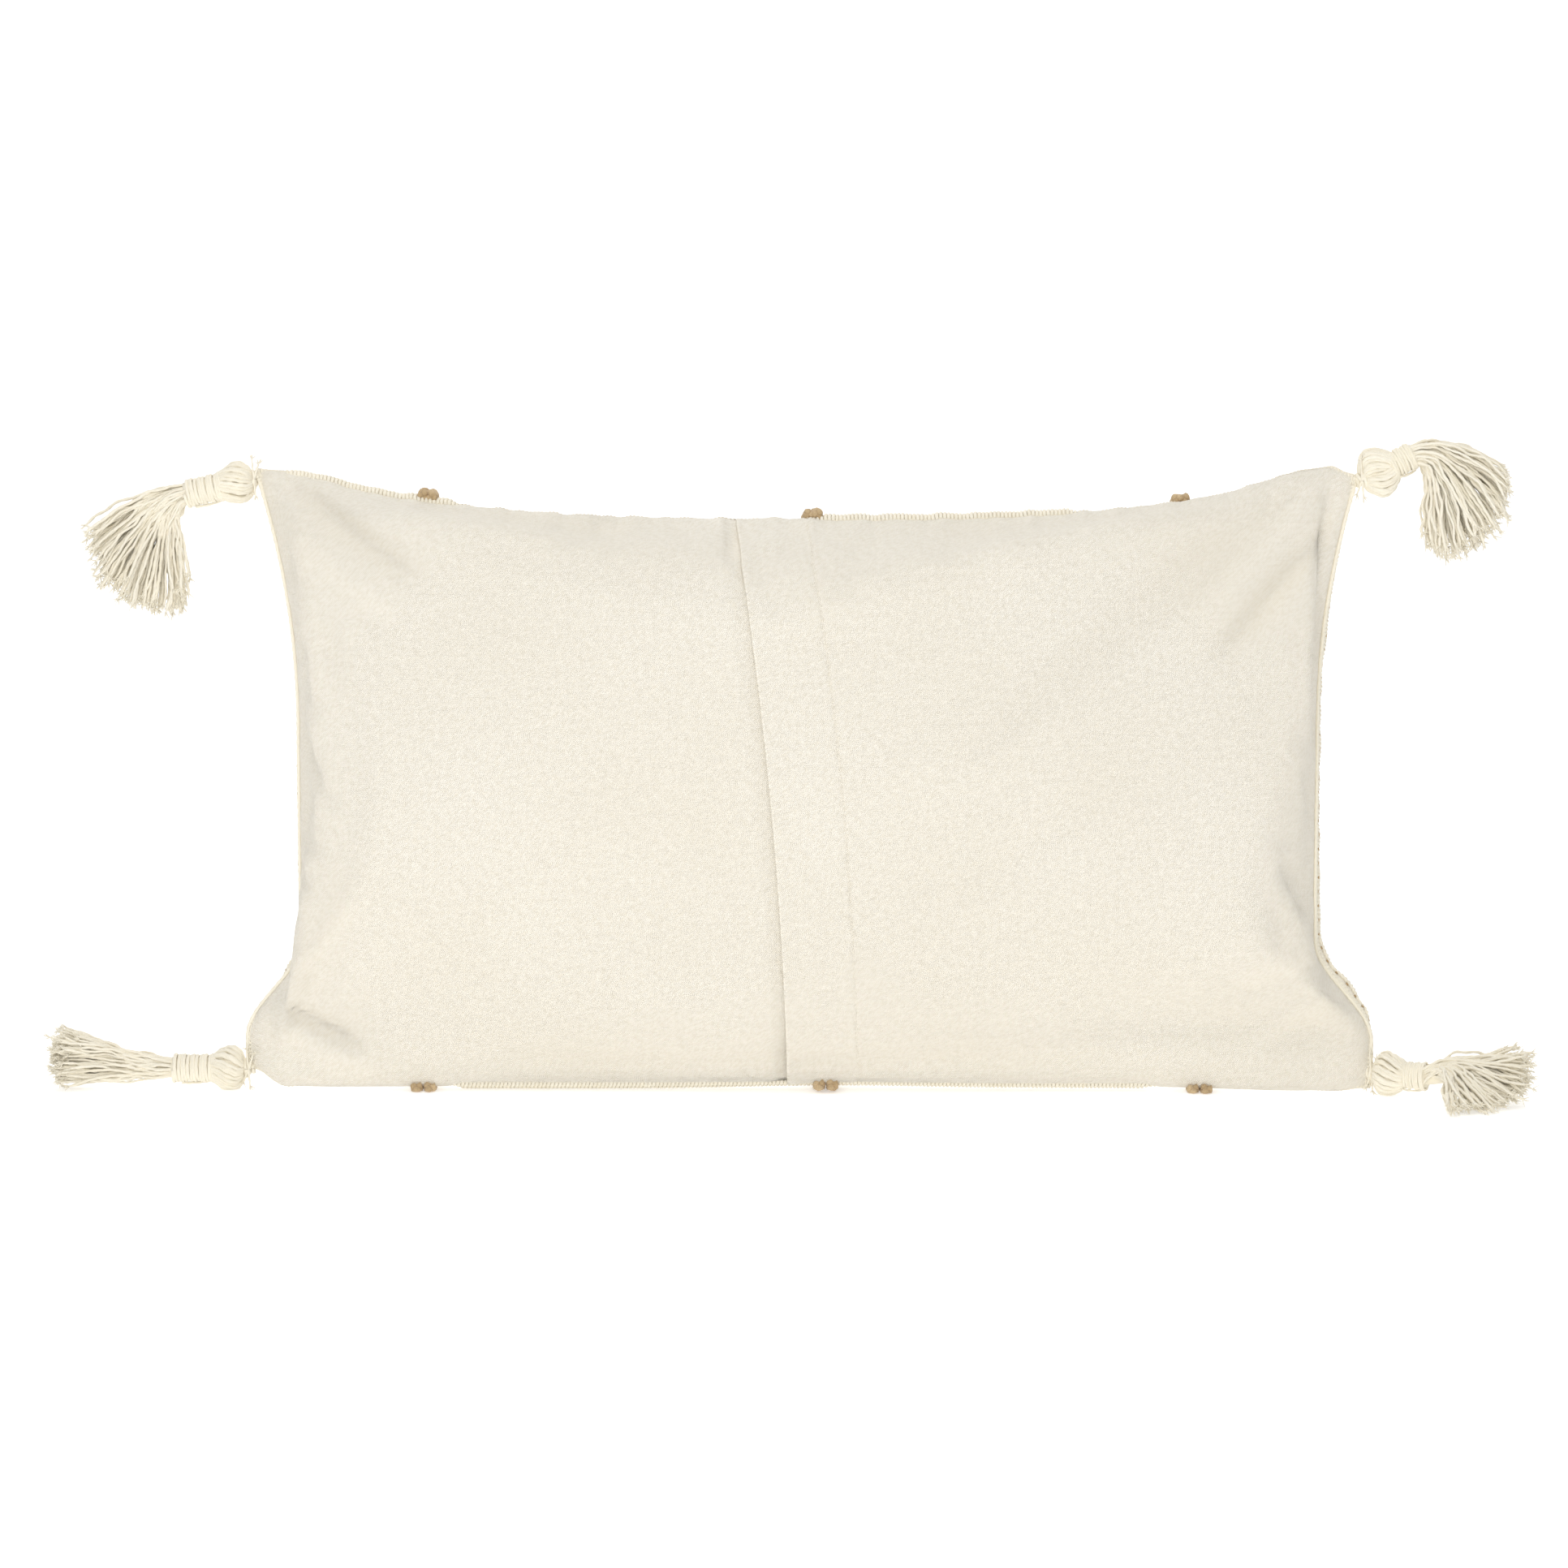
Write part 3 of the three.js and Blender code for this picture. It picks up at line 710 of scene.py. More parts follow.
# The yarn's darker colour gives its random strand tones and, at tone 1.0, the painted shade of the
# tassels' cores
yarn = fibrous("cotton_yarn", (0.93, 0.88, 0.755), (0.89, 0.825, 0.67), 1800.0, 0.00025)
tan_yarn = fibrous("tan_thread", (0.60, 0.44, 0.25), (0.45, 0.31, 0.16), 1500.0, 0.0002)
jute = fibrous("jute_rope", (0.70, 0.54, 0.33), (0.46, 0.32, 0.17), 1300.0, 0.0004, 0.85, 0.2)
thread = fibrous("sewing_thread", (0.90, 0.855, 0.76), (0.84, 0.78, 0.66), 1500.0, 0.0001, 0.75)
casing = fibrous("casing_cloth", (0.86, 0.86, 0.84), (0.80, 0.80, 0.78), 700.0, 0.0002)

# ---- The cover ----
front_grid, back_grid = cover_grids()
front_face, back_face = Surface(front_grid, FRONT), Surface(back_grid, BACK)


def place_of_x(surface, x_of_z, r):
    """The s of the points whose x is x_of_z(z), on each level r."""
    s = np.full_like(r, 0.5)
    for _ in range(12):
        p = surface.at(s, r)
        s = s + (x_of_z(p[..., 2]) - p[..., 0]) / WIDTH
    return s


def free_edge_x(z):
    return HEM_FOOT + HEM_LEAN * z + HEM_BEND * z**2


def seam_dip(s, r):
    """How far the cloth is drawn in right at its seam."""
    return 0.0006 * np.exp(-seam_distance(s, r) / 0.0016)


def ply(s, r, full):
    """A ply's thickness, which thins out where the plies meet in the seam."""
    return full * (0.25 + 0.75 * smooth(seam_distance(s, r) / 0.009))


def even(low, high, step):
    return np.linspace(low, high, max(2, round((high - low) / step) + 1))


def seam_spaced(step):
    """Levels from 0 to 1 that are closer together at both seams."""
    close = np.array([0, 0.0009, 0.002, 0.0035, 0.0055]) / HEIGHT
    middle = even(0.009 / HEIGHT, 1 - 0.009 / HEIGHT, step / HEIGHT)
    return np.concatenate([close, middle, 1 - close[::-1]])


ROWS = seam_spaced(0.004)


def cover_uv(s, r):
    one = np.stack([s * WIDTH, np.broadcast_to(r, s.shape) * HEIGHT], -1).reshape(-1, 2)
    return np.concatenate([one, one])


def make_underlap():
    edge = place_of_x(back_face, free_edge_x, ROWS)
    end = edge + (HEM_WIDTH + UNDERLAP_REACH) / WIDTH
    close = np.array([0, 0.001, 0.0022, 0.0038, 0.006]) / WIDTH
    outside = even(0.022 / WIDTH, 1, 0.0045 / WIDTH)
    to_step = edge - 0.014 / WIDTH
    columns = [np.full_like(ROWS, c) for c in close]
    columns += [c * to_step for c in outside[outside < 1]]
    columns += [to_step + f * 0.014 / WIDTH for f in np.linspace(0, 1, 12)[:-1]]
    columns += [edge + f * (end - edge) for f in np.linspace(0, 1, 16)]
    s = np.array(columns)
    r = np.broadcast_to(ROWS, s.shape)
    under = 2 * CANVAS + 3 * PLY_GAP
    depth = under * smooth(1 + (s - edge) * WIDTH / 0.010)
    outer = back_face.off(s, r, -seam_dip(s, r) - ply(s, r, depth))
    inner = back_face.off(s, r, -seam_dip(s, r) - ply(s, r, depth + CANVAS))
    points, quads = shell(outer, inner, False)
    piece = add_mesh("back_underlap", points, quads, canvas, cover_uv(s, r))
    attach(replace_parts(piece, "back_panel_underlap"), "pillow")
    return piece, float(end.mean()) * WIDTH


def hem_profile():
    """The folded hem as seen from its end: (distance from the free edge, depth) of its two faces."""
    under = np.linspace(HEM_WIDTH + 0.003, 0.004, 14)
    outer = [(d, 2 * FOLD_RADIUS) for d in under]
    inner = [(d, 2 * FOLD_RADIUS - CANVAS) for d in under]
    tight = FOLD_RADIUS - CANVAS
    for angle in np.linspace(0, math.pi, 11):
        away, down = math.sin(angle), math.cos(angle)
        outer.append((FOLD_RADIUS * (1 - away), FOLD_RADIUS * (1 + down)))
        inner.append((FOLD_RADIUS - tight * away, FOLD_RADIUS + tight * down))
    near, flat, by_stitch = [0.002, 0.003, 0.0045, 0.0065], (0.009, 0.034, 11), (0.0355, 0.0425, 15)
    over = np.concatenate([near, np.linspace(*flat), np.linspace(*by_stitch)])
    outer += [(d, 0.0) for d in over]
    inner += [(d, CANVAS) for d in over]
    return np.array(outer), np.array(inner)


def make_overlap():
    edge = place_of_x(back_face, free_edge_x, ROWS)
    outer_profile, inner_profile = hem_profile()
    hem_end = outer_profile[-1, 0]
    rest = np.concatenate([even(0.01, 0.985, 0.016), [0.9885, 0.9925, 0.9955, 0.998, 1.0]])

    def face(profile, below):
        """The places of one face, hem first, and its depth under the cover's surface."""
        hem_s = edge + profile[:, :1] / WIDTH
        hem_depth = np.broadcast_to(profile[:, 1:], hem_s.shape)
        start = edge + hem_end / WIDTH
        panel_s = start + rest[:, None] * (1 - start)
        panel_depth = np.full_like(panel_s, below)
        return np.concatenate([hem_s, panel_s]), np.concatenate([hem_depth, panel_depth])

    rows = np.broadcast_to(ROWS, (len(outer_profile) + len(rest), len(ROWS)))
    faces = []
    for profile, below in ((outer_profile, 0.0), (inner_profile, CANVAS)):
        s, depth = face(profile, below)
        distance = (s - edge) * WIDTH
        z = back_face.at(s, rows)[..., 2]
        open_end = hump(z, 0.004, 0.022)
        lift = (0.0007 + 0.0024 * open_end) * np.exp(-((distance / 0.011) ** 2))
        lift = lift * (1 - smooth((z - 0.26) / 0.04)) * smooth(rows * HEIGHT / 0.012)
        groove = 0.0005 * hump(distance, HEM_WIDTH, 0.0011)
        puff = 0.0003 * hump(distance, HEM_WIDTH - 0.004, 0.003) + 0.0004 * hump(distance, 0.020, 0.010)
        total = ply(s, rows, depth) + groove + seam_dip(s, rows) - lift - puff
        faces.append(back_face.off(s, rows, -total))
    points, quads = shell(faces[0], faces[1], False)
    piece = add_mesh("back_overlap", points, quads, canvas, cover_uv(s, ROWS))
    flap = "closure_flap", "closure_flap_turning"
    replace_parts(piece, "back_panel_overlap", *flap, "hem_turning_bottom", "hem_turning_top")
    s_edge = float(np.interp(0.5, ROWS, edge))
    stitched = back_face.at(s_edge + HEM_WIDTH / WIDTH, 0.5)
    free = back_face.at(s_edge, 0.5)
    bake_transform(piece)
    free_the_hem(piece)
    return piece, (1 - float(edge.mean())) * WIDTH + HEM_WIDTH


def free_the_hem(piece):
    """Reads the positions of the piece's points and does nothing further with them."""
    co = np.empty(len(piece.data.vertices) * 3, np.float32)
    piece.data.vertices.foreach_get("co", co)


def make_front():
    count = round(WIDTH / RIB_PITCH) * 6
    s = np.linspace(0, 1, count + 1)[:, None] * np.ones(len(ROWS))
    r = np.broadcast_to(ROWS, s.shape)
    x = s * WIDTH
    wander = 0.25 * np.sin(37 * r + 9 * np.sin(11 * x)) + 0.2 * np.sin(90 * r + 60 * x)
    rib = 0.5 + 0.5 * np.cos(2 * math.pi * x / RIB_PITCH + wander)
    at_seam = np.minimum(s, 1 - s) * WIDTH
    height = RIB_HEIGHT * np.sqrt(rib) * smooth(at_seam / 0.004)
    outer = front_face.off(s, r, height - seam_dip(s, r))
    inner = front_face.off(s, r, -ply(s, r, CORDED))
    points, quads = shell(outer, inner, True)
    points[:, 2] = np.maximum(points[:, 2], 0)
    piece = add_mesh("front_corded", points, quads, corded, cover_uv(s, r))
    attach(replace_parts(piece, "front_panel"), "pillow")
    return piece


def sewn(bundle, name, material, slot, *nodes):
    """A piece of yarn, thread or rope that is fixed to the cover."""
    piece = bundle.mesh(name, material)
    if nodes:
        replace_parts(piece, *nodes)
    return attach(piece, "pillow")


def make_topstitch():
    """The stitches that hold the hem."""
    rows = np.arange(0.012, HEIGHT - 0.008, 0.0036) / HEIGHT
    edge = place_of_x(back_face, free_edge_x, rows)
    along = np.linspace(-0.0013, 0.0013, 6) / HEIGHT
    r = rows[:, None] + along
    s = (edge + HEM_WIDTH / WIDTH)[:, None] * np.ones(6)
    arch = 0.00012 * (1 - (along / along[-1]) ** 2) - 0.0003
    bundle = Bundle()
    bundle.add(back_face.off(s, r, arch), 0.00022, sides=6, tone=0.0)
    return sewn(bundle, "closure_topstitch", thread, "sewing_thread", "hem_stitching")


def make_overcast():
    """Close loops of cord over the joined edges, along the bottom and top seams."""
    count = round(WIDTH / RIB_PITCH)
    s = (np.arange(count)[:, None] + 0.5) / count
    on_front = [0.0060, 0.0046, 0.0032, 0.0018, 0.0008], [-0.0006, 0.0004, 0.0007, 0.0007, 0.0006]
    at_foot = [0.0015, 0.0034, 0.0052, 0.0062], [0.0005, 0.0007, 0.0005, -0.0010]
    at_top = [0.0006, 0.0013, 0.0018], [0.0002, -0.0001, -0.0009]
    bundle = Bundle()
    for end, on_back in enumerate((at_foot, at_top)):
        inward = 1 - 2 * end
        x = (s[:, 0] - 0.5) * WIDTH
        shown = np.clip(band_at_top(x) if end else band_at_foot(x), 0, 1)
        sunk = SUNK * (1 - shown)[:, None]

        def points(surface, inset, lift):
            """Places at these distances from the seam, lifted off the cloth or sunk into it."""
            inset, lift = np.array(inset), np.array(lift)
            at_s = s + 0.15 * inset / WIDTH
            at_r = np.broadcast_to(end + inward * inset / HEIGHT, at_s.shape)
            return surface.off(at_s, at_r, lift - sunk)

        rim = points(front_face, [0.0], 0.0005) + points(back_face, [0.0], 0.0004)
        front, back = points(front_face, *on_front), points(back_face, *on_back)
        path = np.concatenate([front, 0.5 * rim, back], 1)
        size = 0.00103 * (0.5 + 0.5 * shown)[:, None] * np.ones(path.shape[1])
        bundle.add(path, size, sides=6, lobes=2, depth=0.08, pitch=0.003)
    nodes = "seam_overcast_bottom", "seam_overcast_top"
    return sewn(bundle, "seam_overcast", yarn, "sewing_thread", *nodes)


def braid(bundle, surface, side, inset, rows, lift=0.0010):
    """A column of chain stitch: two strands that cross, next to a side seam."""
    inward = 1 - 2 * side
    for strand in (0, 1):
        turn = rows * HEIGHT * 2 * math.pi / CHAIN_PITCH + strand * math.pi
        s = side + inward * (inset + 0.0007 * np.cos(turn)) / WIDTH
        shown = np.clip(band_at_side(s, rows), 0, 1)
        height = lift + 0.0004 * np.sin(2 * turn) - SUNK * (1 - shown)
        size = 0.00095 * (0.5 + 0.5 * shown)
        bundle.add(surface.off(s, rows, height)[None], size[None], sides=6, tone=0.2)


def make_side_chains():
    """The chain stitch that closes both side seams."""
    bundle = Bundle()
    rows = np.linspace(0.004, 0.996, 440)
    for side in (0, 1):
        braid(bundle, front_face, side, 0.0012, rows, 0.0004)
        seam = 0.5 * (front_face.off(side, rows, 0.0001) + back_face.off(side, rows, 0.0003))
        bundle.add(seam[None], 0.0010, sides=8, lobes=3, depth=0.1)
    nodes = "seam_overcast_left", "seam_overcast_right"
    return sewn(bundle, "seam_side_chains", yarn, "sewing_thread", *nodes)


def make_chains():
    """Columns of chain stitch along both side seams of the front, with tan stitches between them."""
    bundle, stitches = Bundle(), Bundle()
    rows = np.linspace(0.03, 0.97, 420)
    for side in (0, 1):
        inward = 1 - 2 * side
        for inset in (0.0052, 0.0092, 0.0132):
            braid(bundle, front_face, side, inset, rows)
        for level in np.arange(0.045, 0.96, 0.008 / HEIGHT):
            at = side + inward * 0.0032 / WIDTH
            r = level + np.linspace(-0.0008, 0.0008, 3) / HEIGHT
            stitches.add(front_face.off(at, r, 0.0010)[None], 0.0005, sides=6)
    chains = sewn(bundle, "front_chain_columns", yarn, "corded_cotton")
    return chains, sewn(stitches, "front_tan_stitches", tan_yarn, "jute_rope")


def make_rope(name):
    """Two twisted strands side by side, from the bottom seam to the top one."""
    foot, head = ROPES[name]
    lengths = even(0, HEIGHT, 0.0011)
    r = lengths / HEIGHT
    bundle = Bundle()
    for hand in (-1, 1):

        def line(z):
            apart = ROPE_SHIFT * (1.05 - 0.37 * smooth((z - MID_HEIGHT + 0.03) / 0.03))
            return foot + (head - foot) * z / MID_HEIGHT + hand * apart

        s = place_of_x(front_face, line, r)
        to_end = np.minimum(lengths, HEIGHT - lengths)
        lift = 0.0020 + 0.0012 * smooth(to_end / 0.006)
        foot_r = np.linspace(0.0085, 0.0010, 8) / HEIGHT
        turned = back_face.off(place_of_x(back_face, line, foot_r), foot_r, 0.0018)
        path = smoothed(np.concatenate([turned, front_face.off(s, r, lift)]), 5)
        from_head = HEIGHT - np.concatenate([foot_r * 0, lengths])
        radius = ROPE_PLY * (1 - 0.12 * smooth(1 - from_head / 0.005))
        for yarns in plied(path, 3, PLY_OFFSET, ROPE_TWIST, 1.3 * hand):
            bundle.add(yarns[None], radius, sides=10, lobes=5, depth=0.07, pitch=0.008)
    nodes = f"rope_{name}_strand_a", f"rope_{name}_strand_b"
    return sewn(bundle, f"rope_{name}", jute, "jute_rope", *nodes)


def smoothed(path, times):
    for _ in range(times):
        path = path.copy()
        path[1:-1] = (path[:-2] + 2 * path[1:-1] + path[2:]) / 4
    return path


def make_insert():
    """The stuffed casing: a closed form that fills the cover and tapers to its own seam."""
    across, up = (np.sin(np.linspace(-1, 1, count) * math.pi / 2) for count in (61, 41))
    a, b = np.meshgrid(across, up, indexing="ij")
    s, r = 0.5 + 0.455 * a, 0.5 + 0.445 * b
    front, back = front_face.at(s, r), back_face.at(s, r)
    middle, half = (front + back) / 2, (front - back) / 2
    inset = np.minimum(1 - np.abs(a), 1 - np.abs(b))
    half = half * (0.84 * np.sqrt(np.clip(inset / 0.30, 0, 1)))[..., None]
    border, index, other = joined_border(a)
    points = np.concatenate([(middle + half).reshape(-1, 3), (middle - half)[~border]])
    points[:, 2] = 0.004 + points[:, 2] * 0.985
    quads = np.concatenate([grid_quads(other, False), grid_quads(index, True)])
    piece = add_mesh("insert", points, quads, casing)
    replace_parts(piece, "insert_casing_front", "insert_casing_back", "insert_fill")
    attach(piece, "pillow")
    return piece


underlap, underlap_width = make_underlap()
overlap, overlap_width = make_overlap()
front = make_front()
topstitch = make_topstitch()
overcast = make_overcast()
side_chains = make_side_chains()
chains, tan_stitches = make_chains()
ropes = [make_rope(name) for name in ROPES]
insert = make_insert()

# ---- Tassels ----
JOINTS = {j["name"]: j for j in frame["record"]["behaviour"]["joints"]}
NECK_START = 0.0150
NECK_RADIUS = 0.0072
HEAD_YARN = 0.00115
HEAD_WAIST = 0.0046
STRAND_POINTS = 46
STRAND_RADII = (0.00064, 0.00088)
FLAT_LIFTS = (0.026, 0.012)

# head: where the head starts, from the corner; full: its radius; neck: the neck's length;
# tips: where the strands end, as (x, z) in mm from the neck's end; reach: the same in y; rise: their droop
TASSELS = {
    "top_left": dict(
        head=-0.001, full=0.009, neck=0.0215, turns=13, reach=0.016, rise=0.35, strands=210,
        tips=[(-53, -20), (-53, -34), (-47, -47), (-37, -56), (-25, -62), (-9, -64), (-4, -52)],
    ),
    "top_right": dict(
        head=0.0, full=0.0066, neck=0.0145, turns=9, reach=0.017, rise=0.75, strands=210,
        tips=[(52, -10), (52, -22), (48, -33), (41, -43), (32, -50), (21, -54), (10, -46)],
    ),
    "bottom_left": dict(
        head=0.001, full=0.0106, neck=0.0250, turns=14, reach=0.014, rise=0.4, strands=190,
        tips=[(-62, 19), (-66, 13), (-67, 6), (-66, 0), (-66, -6)],
    ),
    "bottom_right": dict(
        head=0.001, full=0.0098, neck=0.0150, turns=11, reach=0.014, rise=0.4, strands=210,
        tips=[(50, 17), (56, 9), (53, 2), (46, -4), (34, -8), (20, -8), (6, -8)],
    ),
}


class Tassel:
    """One tassel's four pieces, built along the line from its corner to its skirt's hinge."""

    def __init__(self, name, head, full, neck, turns, tips, reach, rise, strands):
        self.name, self.body, self.head, self.full = name, f"tassel_{name}", head, full
        self.turns, self.reach, self.rise, self.strands = turns, reach, rise, strands
        self.tips = np.array(tips, float) / 1000
        self.root = np.array(JOINTS[f"tassel_{name}_swing"]["pos_m"], float)
        self.pivot = np.array(JOINTS[f"skirt_{name}_bend"]["pos_m"], float)
        self.aim = unit(self.pivot - self.root)
        self.across = unit(np.cross(UP, self.aim))
        self.rise_axis = np.cross(self.aim, self.across)
        self.neck_end = NECK_START + neck

    def point(self, along, radius, angle):
        """Points round the tassel's axis, by the distance from its corner."""
        along, radius, angle = np.broadcast_arrays(along, radius, angle)
        side = self.across * np.cos(angle)[..., None] + self.rise_axis * np.sin(angle)[..., None]
        return self.root + self.aim * along[..., None] + side * radius[..., None]

    def piece(self, bundle, part, node):
        made = bundle.mesh(f"tassel_{self.name}_{part}", yarn)
        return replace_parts(made, f"tassel_{self.name}_{node}")

    def make_head(self):
        bundle = Bundle()
        k = np.linspace(0, 1, 30) ** 1.3
        along = self.head + k * (NECK_START + 0.003 - self.head)
        bulge = np.sin(math.pi * k**0.78) ** 0.62
        lobes = (0.0056, -0.0056) if self.name == "top_right" else (0.0,)
        for offset in lobes:
            count = 30 if offset == 0 else 22
            for layer, inward in enumerate((0.0, 0.0018)):
                angle = (np.arange(count)[:, None] + 0.5 * layer) * 2 * math.pi / count
                angle = angle + rng.normal(0, 0.06, (count, 1)) + 0.8 * k
                size = 1 + rng.normal(0, 0.07, (count, 1)) * bulge
                gathered = self.full - HEAD_WAIST * k - inward
                radius = 0.0008 + HEAD_WAIST * k + gathered * bulge * size
                paths = self.point(along, radius, angle) + self.rise_axis * (offset * bulge[:, None])
                bundle.add(paths, HEAD_YARN, sides=8, lobes=2, depth=0.16, pitch=0.006)
            # Painted shade: a core of the darkest yarn tone (tone 1.0) fills the head, so the gaps between
            # its loops look shadowed
            shaded_core = self.point(along, 0.0, 0.0) + self.rise_axis * (offset * bulge[:, None])
            bundle.add(shaded_core[None], 0.001 + (self.full - 0.001) * bulge, sides=12, tone=1.0)
        # Painted shade: a darkest-tone core inside the neck wrap
        shaded_neck_span = np.linspace(NECK_START, self.neck_end, 8)
        bundle.add(self.point(shaded_neck_span, 0.0, 0.0)[None], 0.0062, sides=12, tone=1.0)
        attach(self.piece(bundle, "head_loops", "head"), self.body)

    def make_wrap(self):
        """The yarn wound round the neck, and its end laid slanting over the turns."""
        bundle = Bundle()
        neck = self.neck_end - NECK_START
        gauge = neck / self.turns / 2
        turn = np.linspace(0, 2 * math.pi * self.turns, 22 * self.turns)
        along = gauge + turn / (2 * math.pi * self.turns) * (neck - 2 * gauge)
        wander = 0.0002 * np.sin(1.7 * turn) + 0.00025 * np.sin(0.31 * turn + 1)
        radius = NECK_RADIUS - 0.0006 * np.sin(math.pi * along / neck) + wander
        coil = self.point(NECK_START + along + wander, radius, turn)
        bundle.add(coil[None], gauge * 1.12, sides=8, lobes=2, depth=0.10)
        tail = np.linspace(0, 1, 14)
        slant = self.point(NECK_START + 0.002 + 0.7 * tail * neck, NECK_RADIUS + 0.001, 4.2 + 0.8 * tail)
        bundle.add(slant[None], gauge * 0.8, sides=8, lobes=2, depth=0.12)
        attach(self.piece(bundle, "wrap_coil", "neck_wrap"), self.body)

    def make_tie(self):
        """The knotted yarn that holds the tassel to its corner, with its frayed ends."""
        bundle = Bundle()
        turn = np.linspace(0, 2 * math.pi, 25)
        loops = ((-0.0040, 0.0024, 0.4), (-0.0022, 0.0036, -0.5), (-0.0004, 0.0046, 0.3))
        for along, radius, tilt in loops:
            loop = self.point(along + 0.0012 * tilt * np.sin(turn), radius, turn)
            bundle.add(loop[None], 0.0010, sides=8, lobes=2, depth=0.15)
        stem = self.point(np.linspace(-0.004, 0.006, 8), 0.0, 0.0)
        bundle.add(stem[None], 0.0022, sides=8)
        k = np.linspace(0, 1, 10)
        for rise, sideways in ((0.012, -0.001), (0.009, 0.003), (-0.010, 0.001), (-0.008, -0.003)):
            out = self.point(-0.002 + 0 * k, 0.0, 0.0) + [0, -0.0045, 0]
            out = out + k[:, None] * [sideways, -0.001, rise]
            radius = 0.0007 * (1 - 0.4 * k)
            bundle.add(out[None], radius, sides=6, lobes=2, depth=0.2, pitch=0.004)
            fray(bundle, out[None, -3:], 5, 0.003)
        piece = self.piece(bundle, "tie_knot", "tie_cord")
        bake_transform(piece)

    def tip_places(self, q):
        """The strands' ends for q from 0 to 1 across the fan."""
        at = q * (len(self.tips) - 1)
        x = np.interp(at, np.arange(len(self.tips)), self.tips[:, 0])
        z = np.interp(at, np.arange(len(self.tips)), self.tips[:, 1])
        return x, z

    def strand_ends(self, start):
        """The strands' roots and ends, their places across the fan, and their shares of its depth."""
        count = self.strands
        q = (np.arange(count) + rng.uniform(-0.5, 0.5, count) + 0.5) / count
        q = np.clip(q, 0, 1)
        across = rng.uniform(-1, 1, count)
        share = np.sqrt(rng.uniform(0.05, 1, count))
        x, z = self.tip_places(q)
        short = 1 - np.abs(rng.normal(0, 0.05, count)) - 0.10 * rng.uniform(0, 1, count) ** 3
        tip = np.stack([x * short, across * self.reach * (0.5 + 0.5 * share), z * short], -1)
        tip = tip + rng.normal(0, 0.0018, tip.shape)
        if self.name == "bottom_right":
            tip[:, 1] += -0.008 - 0.046 * q**1.1
        lift = (1 - 2 * q) * 0.0050 * share
        root = start + self.across * (across * 0.0055 * share)[:, None] + self.rise_axis * lift[:, None]
        return root, start + tip, q, share

    def make_skirt(self):
        """The loose strands: each leaves the neck straight, then bends over and hangs or lies down."""
        start = self.root + self.aim * (self.neck_end - 0.002)
        root, tip, q, share = self.strand_ends(start)
        chord = np.linalg.norm(tip - root, axis=1)[:, None]
        first = root + self.aim * chord * 0.30 + (root - start) * 0.5
        hanging = self.rise if self.name.startswith("top") else 0
        drop = unit((tip - root) - UP * hanging * chord)
        second = tip - drop * chord * 0.38
        if self.name == "bottom_right":
            first = first + UP * (FLAT_LIFTS[0] * np.sqrt(q) * share)[:, None]
            second = second + UP * (FLAT_LIFTS[1] * q * share)[:, None]
        k = np.linspace(0, 1, STRAND_POINTS)[None, :, None]
        a, b, c, d = (v[:, None] for v in (root, first, second, tip))
        paths = (1 - k) ** 3 * a + 3 * k * (1 - k) ** 2 * b + 3 * k**2 * (1 - k) * c + k**3 * d
        paths = paths + wavy(self.strands, k, 0.0011)
        floor = 0.0011 + 0.0008 * rng.uniform(0, 1, (self.strands, 1))
        paths[..., 2] = np.maximum(paths[..., 2], floor)
        bundle = Bundle()
        radius = rng.uniform(*STRAND_RADII, (self.strands, 1))
        radius = radius * (1 - 0.35 * smooth((k[0, :, 0] - 0.93) / 0.07))
        bundle.add(paths, radius, sides=6, lobes=2, depth=0.20, pitch=0.0058)
        fray(bundle, paths[:, -3:], 6, 0.0036)
        # Painted shade: a darkest-tone core at the skirt's root, where the gaps between strands lie in
        # shadow
        shaded_core = root.mean(0) + np.linspace(-0.001, 0.012, 8)[:, None] * self.aim
        bundle.add(shaded_core[None], 0.0052 * np.linspace(1, 0.55, 8)[None], sides=10, tone=1.0)
        piece = self.piece(bundle, "skirt_strands", "skirt")
        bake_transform(piece)


def wavy(count, k, size):
    """A loose wave for each strand, none at its root."""
    total = 0
    for turns in (1.1, 2.3, 4.1):
        direction = rng.normal(0, 1, (count, 1, 3)) / turns
        phase = rng.uniform(0, 6.28, (count, 1, 1))
        total = total + direction * np.sin(k * turns * 6.28 + phase)
    return total * size * smooth(k * 3)


def fray(bundle, ends, count, length):
    """Fine fibres that open out from the last points of each strand (k, 3, 3)."""
    strands = len(ends)
    direction = unit(ends[:, -1] - ends[:, 0])
    spread = rng.normal(0, 0.42, (strands, count, 3))
    tips = unit(direction[:, None] + spread) * length * rng.uniform(0.5, 1.1, (strands, count, 1))
    start = np.broadcast_to(ends[:, -1:], (strands, count, 3)) - direction[:, None] * 0.0008
    side = spread * 0.0005
    k = np.linspace(0, 1, 4)[:, None]
    paths = start[:, :, None] + side[:, :, None] + tips[:, :, None] * k
    paths = paths + (spread * 0.0006)[:, :, None] * k**2
    paths[..., 2] = np.maximum(paths[..., 2], 0.0004)
    bundle.add(paths.reshape(-1, 4, 3), np.array([0.00032, 0.0003, 0.00024, 0.00012]), sides=4)


for tassel_name, facts in TASSELS.items():
    tassel = Tassel(tassel_name, **facts)
    tassel.make_tie()
    tassel.make_head()
    tassel.make_wrap()
    tassel.make_skirt()


# ---- Floor, light and camera ----
KEY_POWER = 24.8
TOP_POWER = 36
WORLD_STRENGTH = 0.36
SWEEP_GLOW = 0.40
SWEEP_HALF = 5.0
SWEEP_RADIUS = 1.2
CAMERA_DISTANCE = 2.2
CAMERA_ELEVATION = math.radians(5.5)
CAMERA_AIM = Vector((-0.0128, 0, 0.167))
FRAME_WIDTH = 0.85
SENSOR = 36


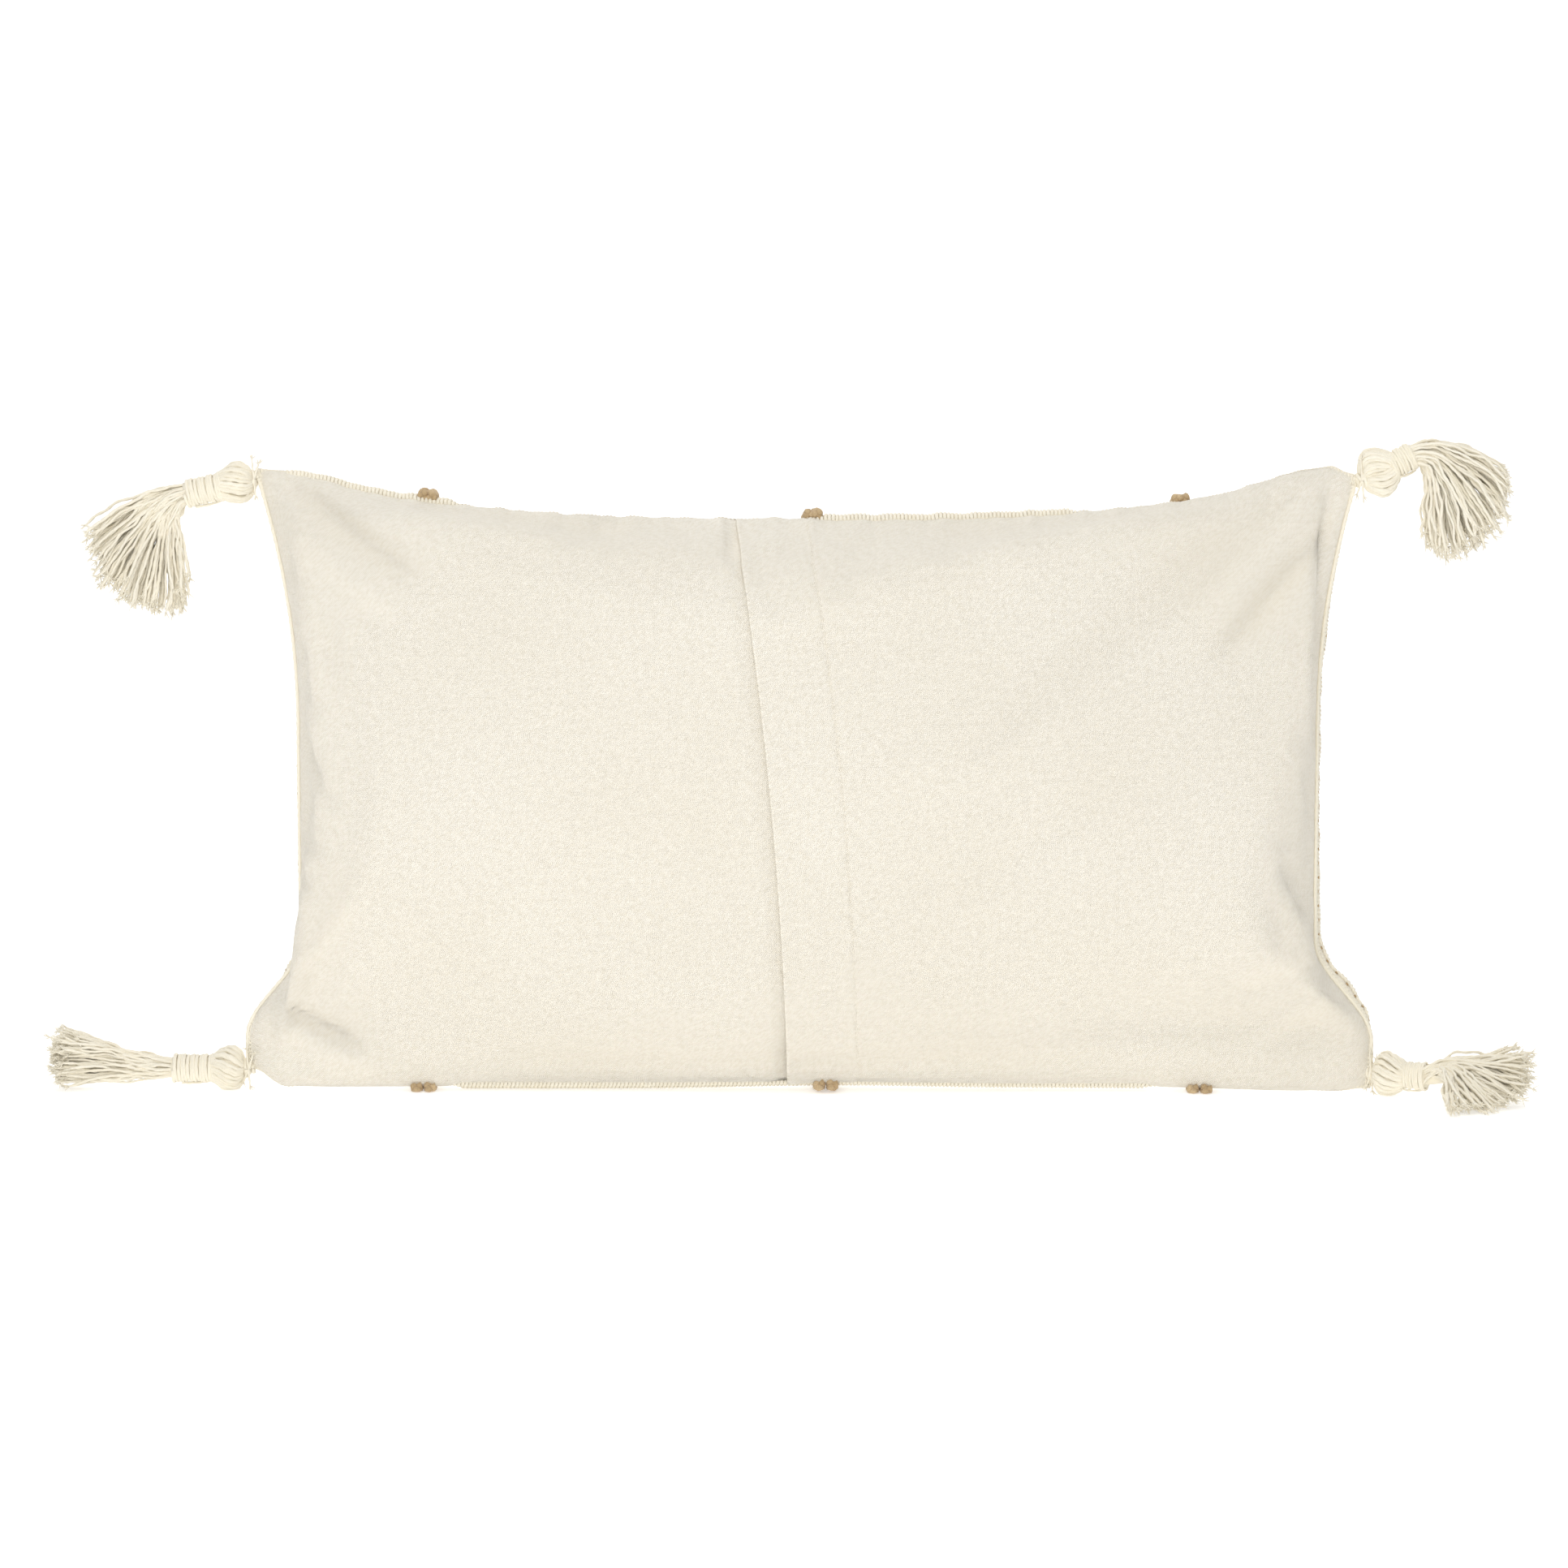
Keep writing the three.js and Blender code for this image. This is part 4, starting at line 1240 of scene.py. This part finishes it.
def add_stage():
    """A pale sweep: floor, curve and backdrop."""
    n = Nodes("studio_white")
    n.shader.inputs["Emission Color"].default_value = (1, 1, 1, 1)
    n.shader.inputs["Emission Strength"].default_value = SWEEP_GLOW
    n.finish((0.90, 0.90, 0.90, 1), None, 0.9, 0.0)
    turn = np.linspace(0, math.pi / 2, 24)
    y = np.concatenate([[-SWEEP_HALF], 1.0 + SWEEP_RADIUS * np.sin(turn), [1.0 + SWEEP_RADIUS]])
    z = np.concatenate([[0.0], SWEEP_RADIUS * (1 - np.cos(turn)), [SWEEP_HALF]])
    rows = [np.stack([np.full_like(y, x), y, z], -1) for x in (-SWEEP_HALF, SWEEP_HALF)]
    points = np.array(rows) - [0, 0, 0.0004]
    index = np.arange(2 * len(y)).reshape(2, -1)
    add_mesh("sweep", points, grid_quads(index, False), n.material)


def add_light(name, place, aim, size, power):
    light = bpy.data.lights.new(name, "AREA")
    light.shape = "RECTANGLE"
    light.size = light.size_y = size
    light.energy = power
    lamp = add_object(name, light)
    lamp.location = place
    lamp.rotation_euler = (Vector(aim) - Vector(place)).to_track_quat("-Z", "Y").to_euler()


def add_camera():
    camera = bpy.data.cameras.new("camera")
    camera.sensor_width = SENSOR
    camera.lens = SENSOR * CAMERA_DISTANCE / FRAME_WIDTH
    holder = add_object("camera", camera)
    outward = Vector((0, -math.cos(CAMERA_ELEVATION), math.sin(CAMERA_ELEVATION)))
    holder.location = CAMERA_AIM + CAMERA_DISTANCE * outward
    holder.rotation_euler = (-outward).to_track_quat("-Z", "Y").to_euler()
    bpy.context.scene.camera = holder


def add_world():
    world = bpy.data.worlds.new("studio")
    bpy.context.scene.world = world
    world.use_nodes = True
    background = world.node_tree.nodes["Background"]
    background.inputs["Color"].default_value = (1, 1, 1, 1)
    background.inputs["Strength"].default_value = WORLD_STRENGTH
    bpy.context.scene.view_settings.view_transform = "Standard"


add_stage()
add_light("key", (-0.3, -2.5, 1.25), (0, 0, 0.15), 1.3, KEY_POWER)
add_light("top", (0, -0.1, 2.6), (0, 0, 0), 3.2, TOP_POWER)
add_world()
add_camera()
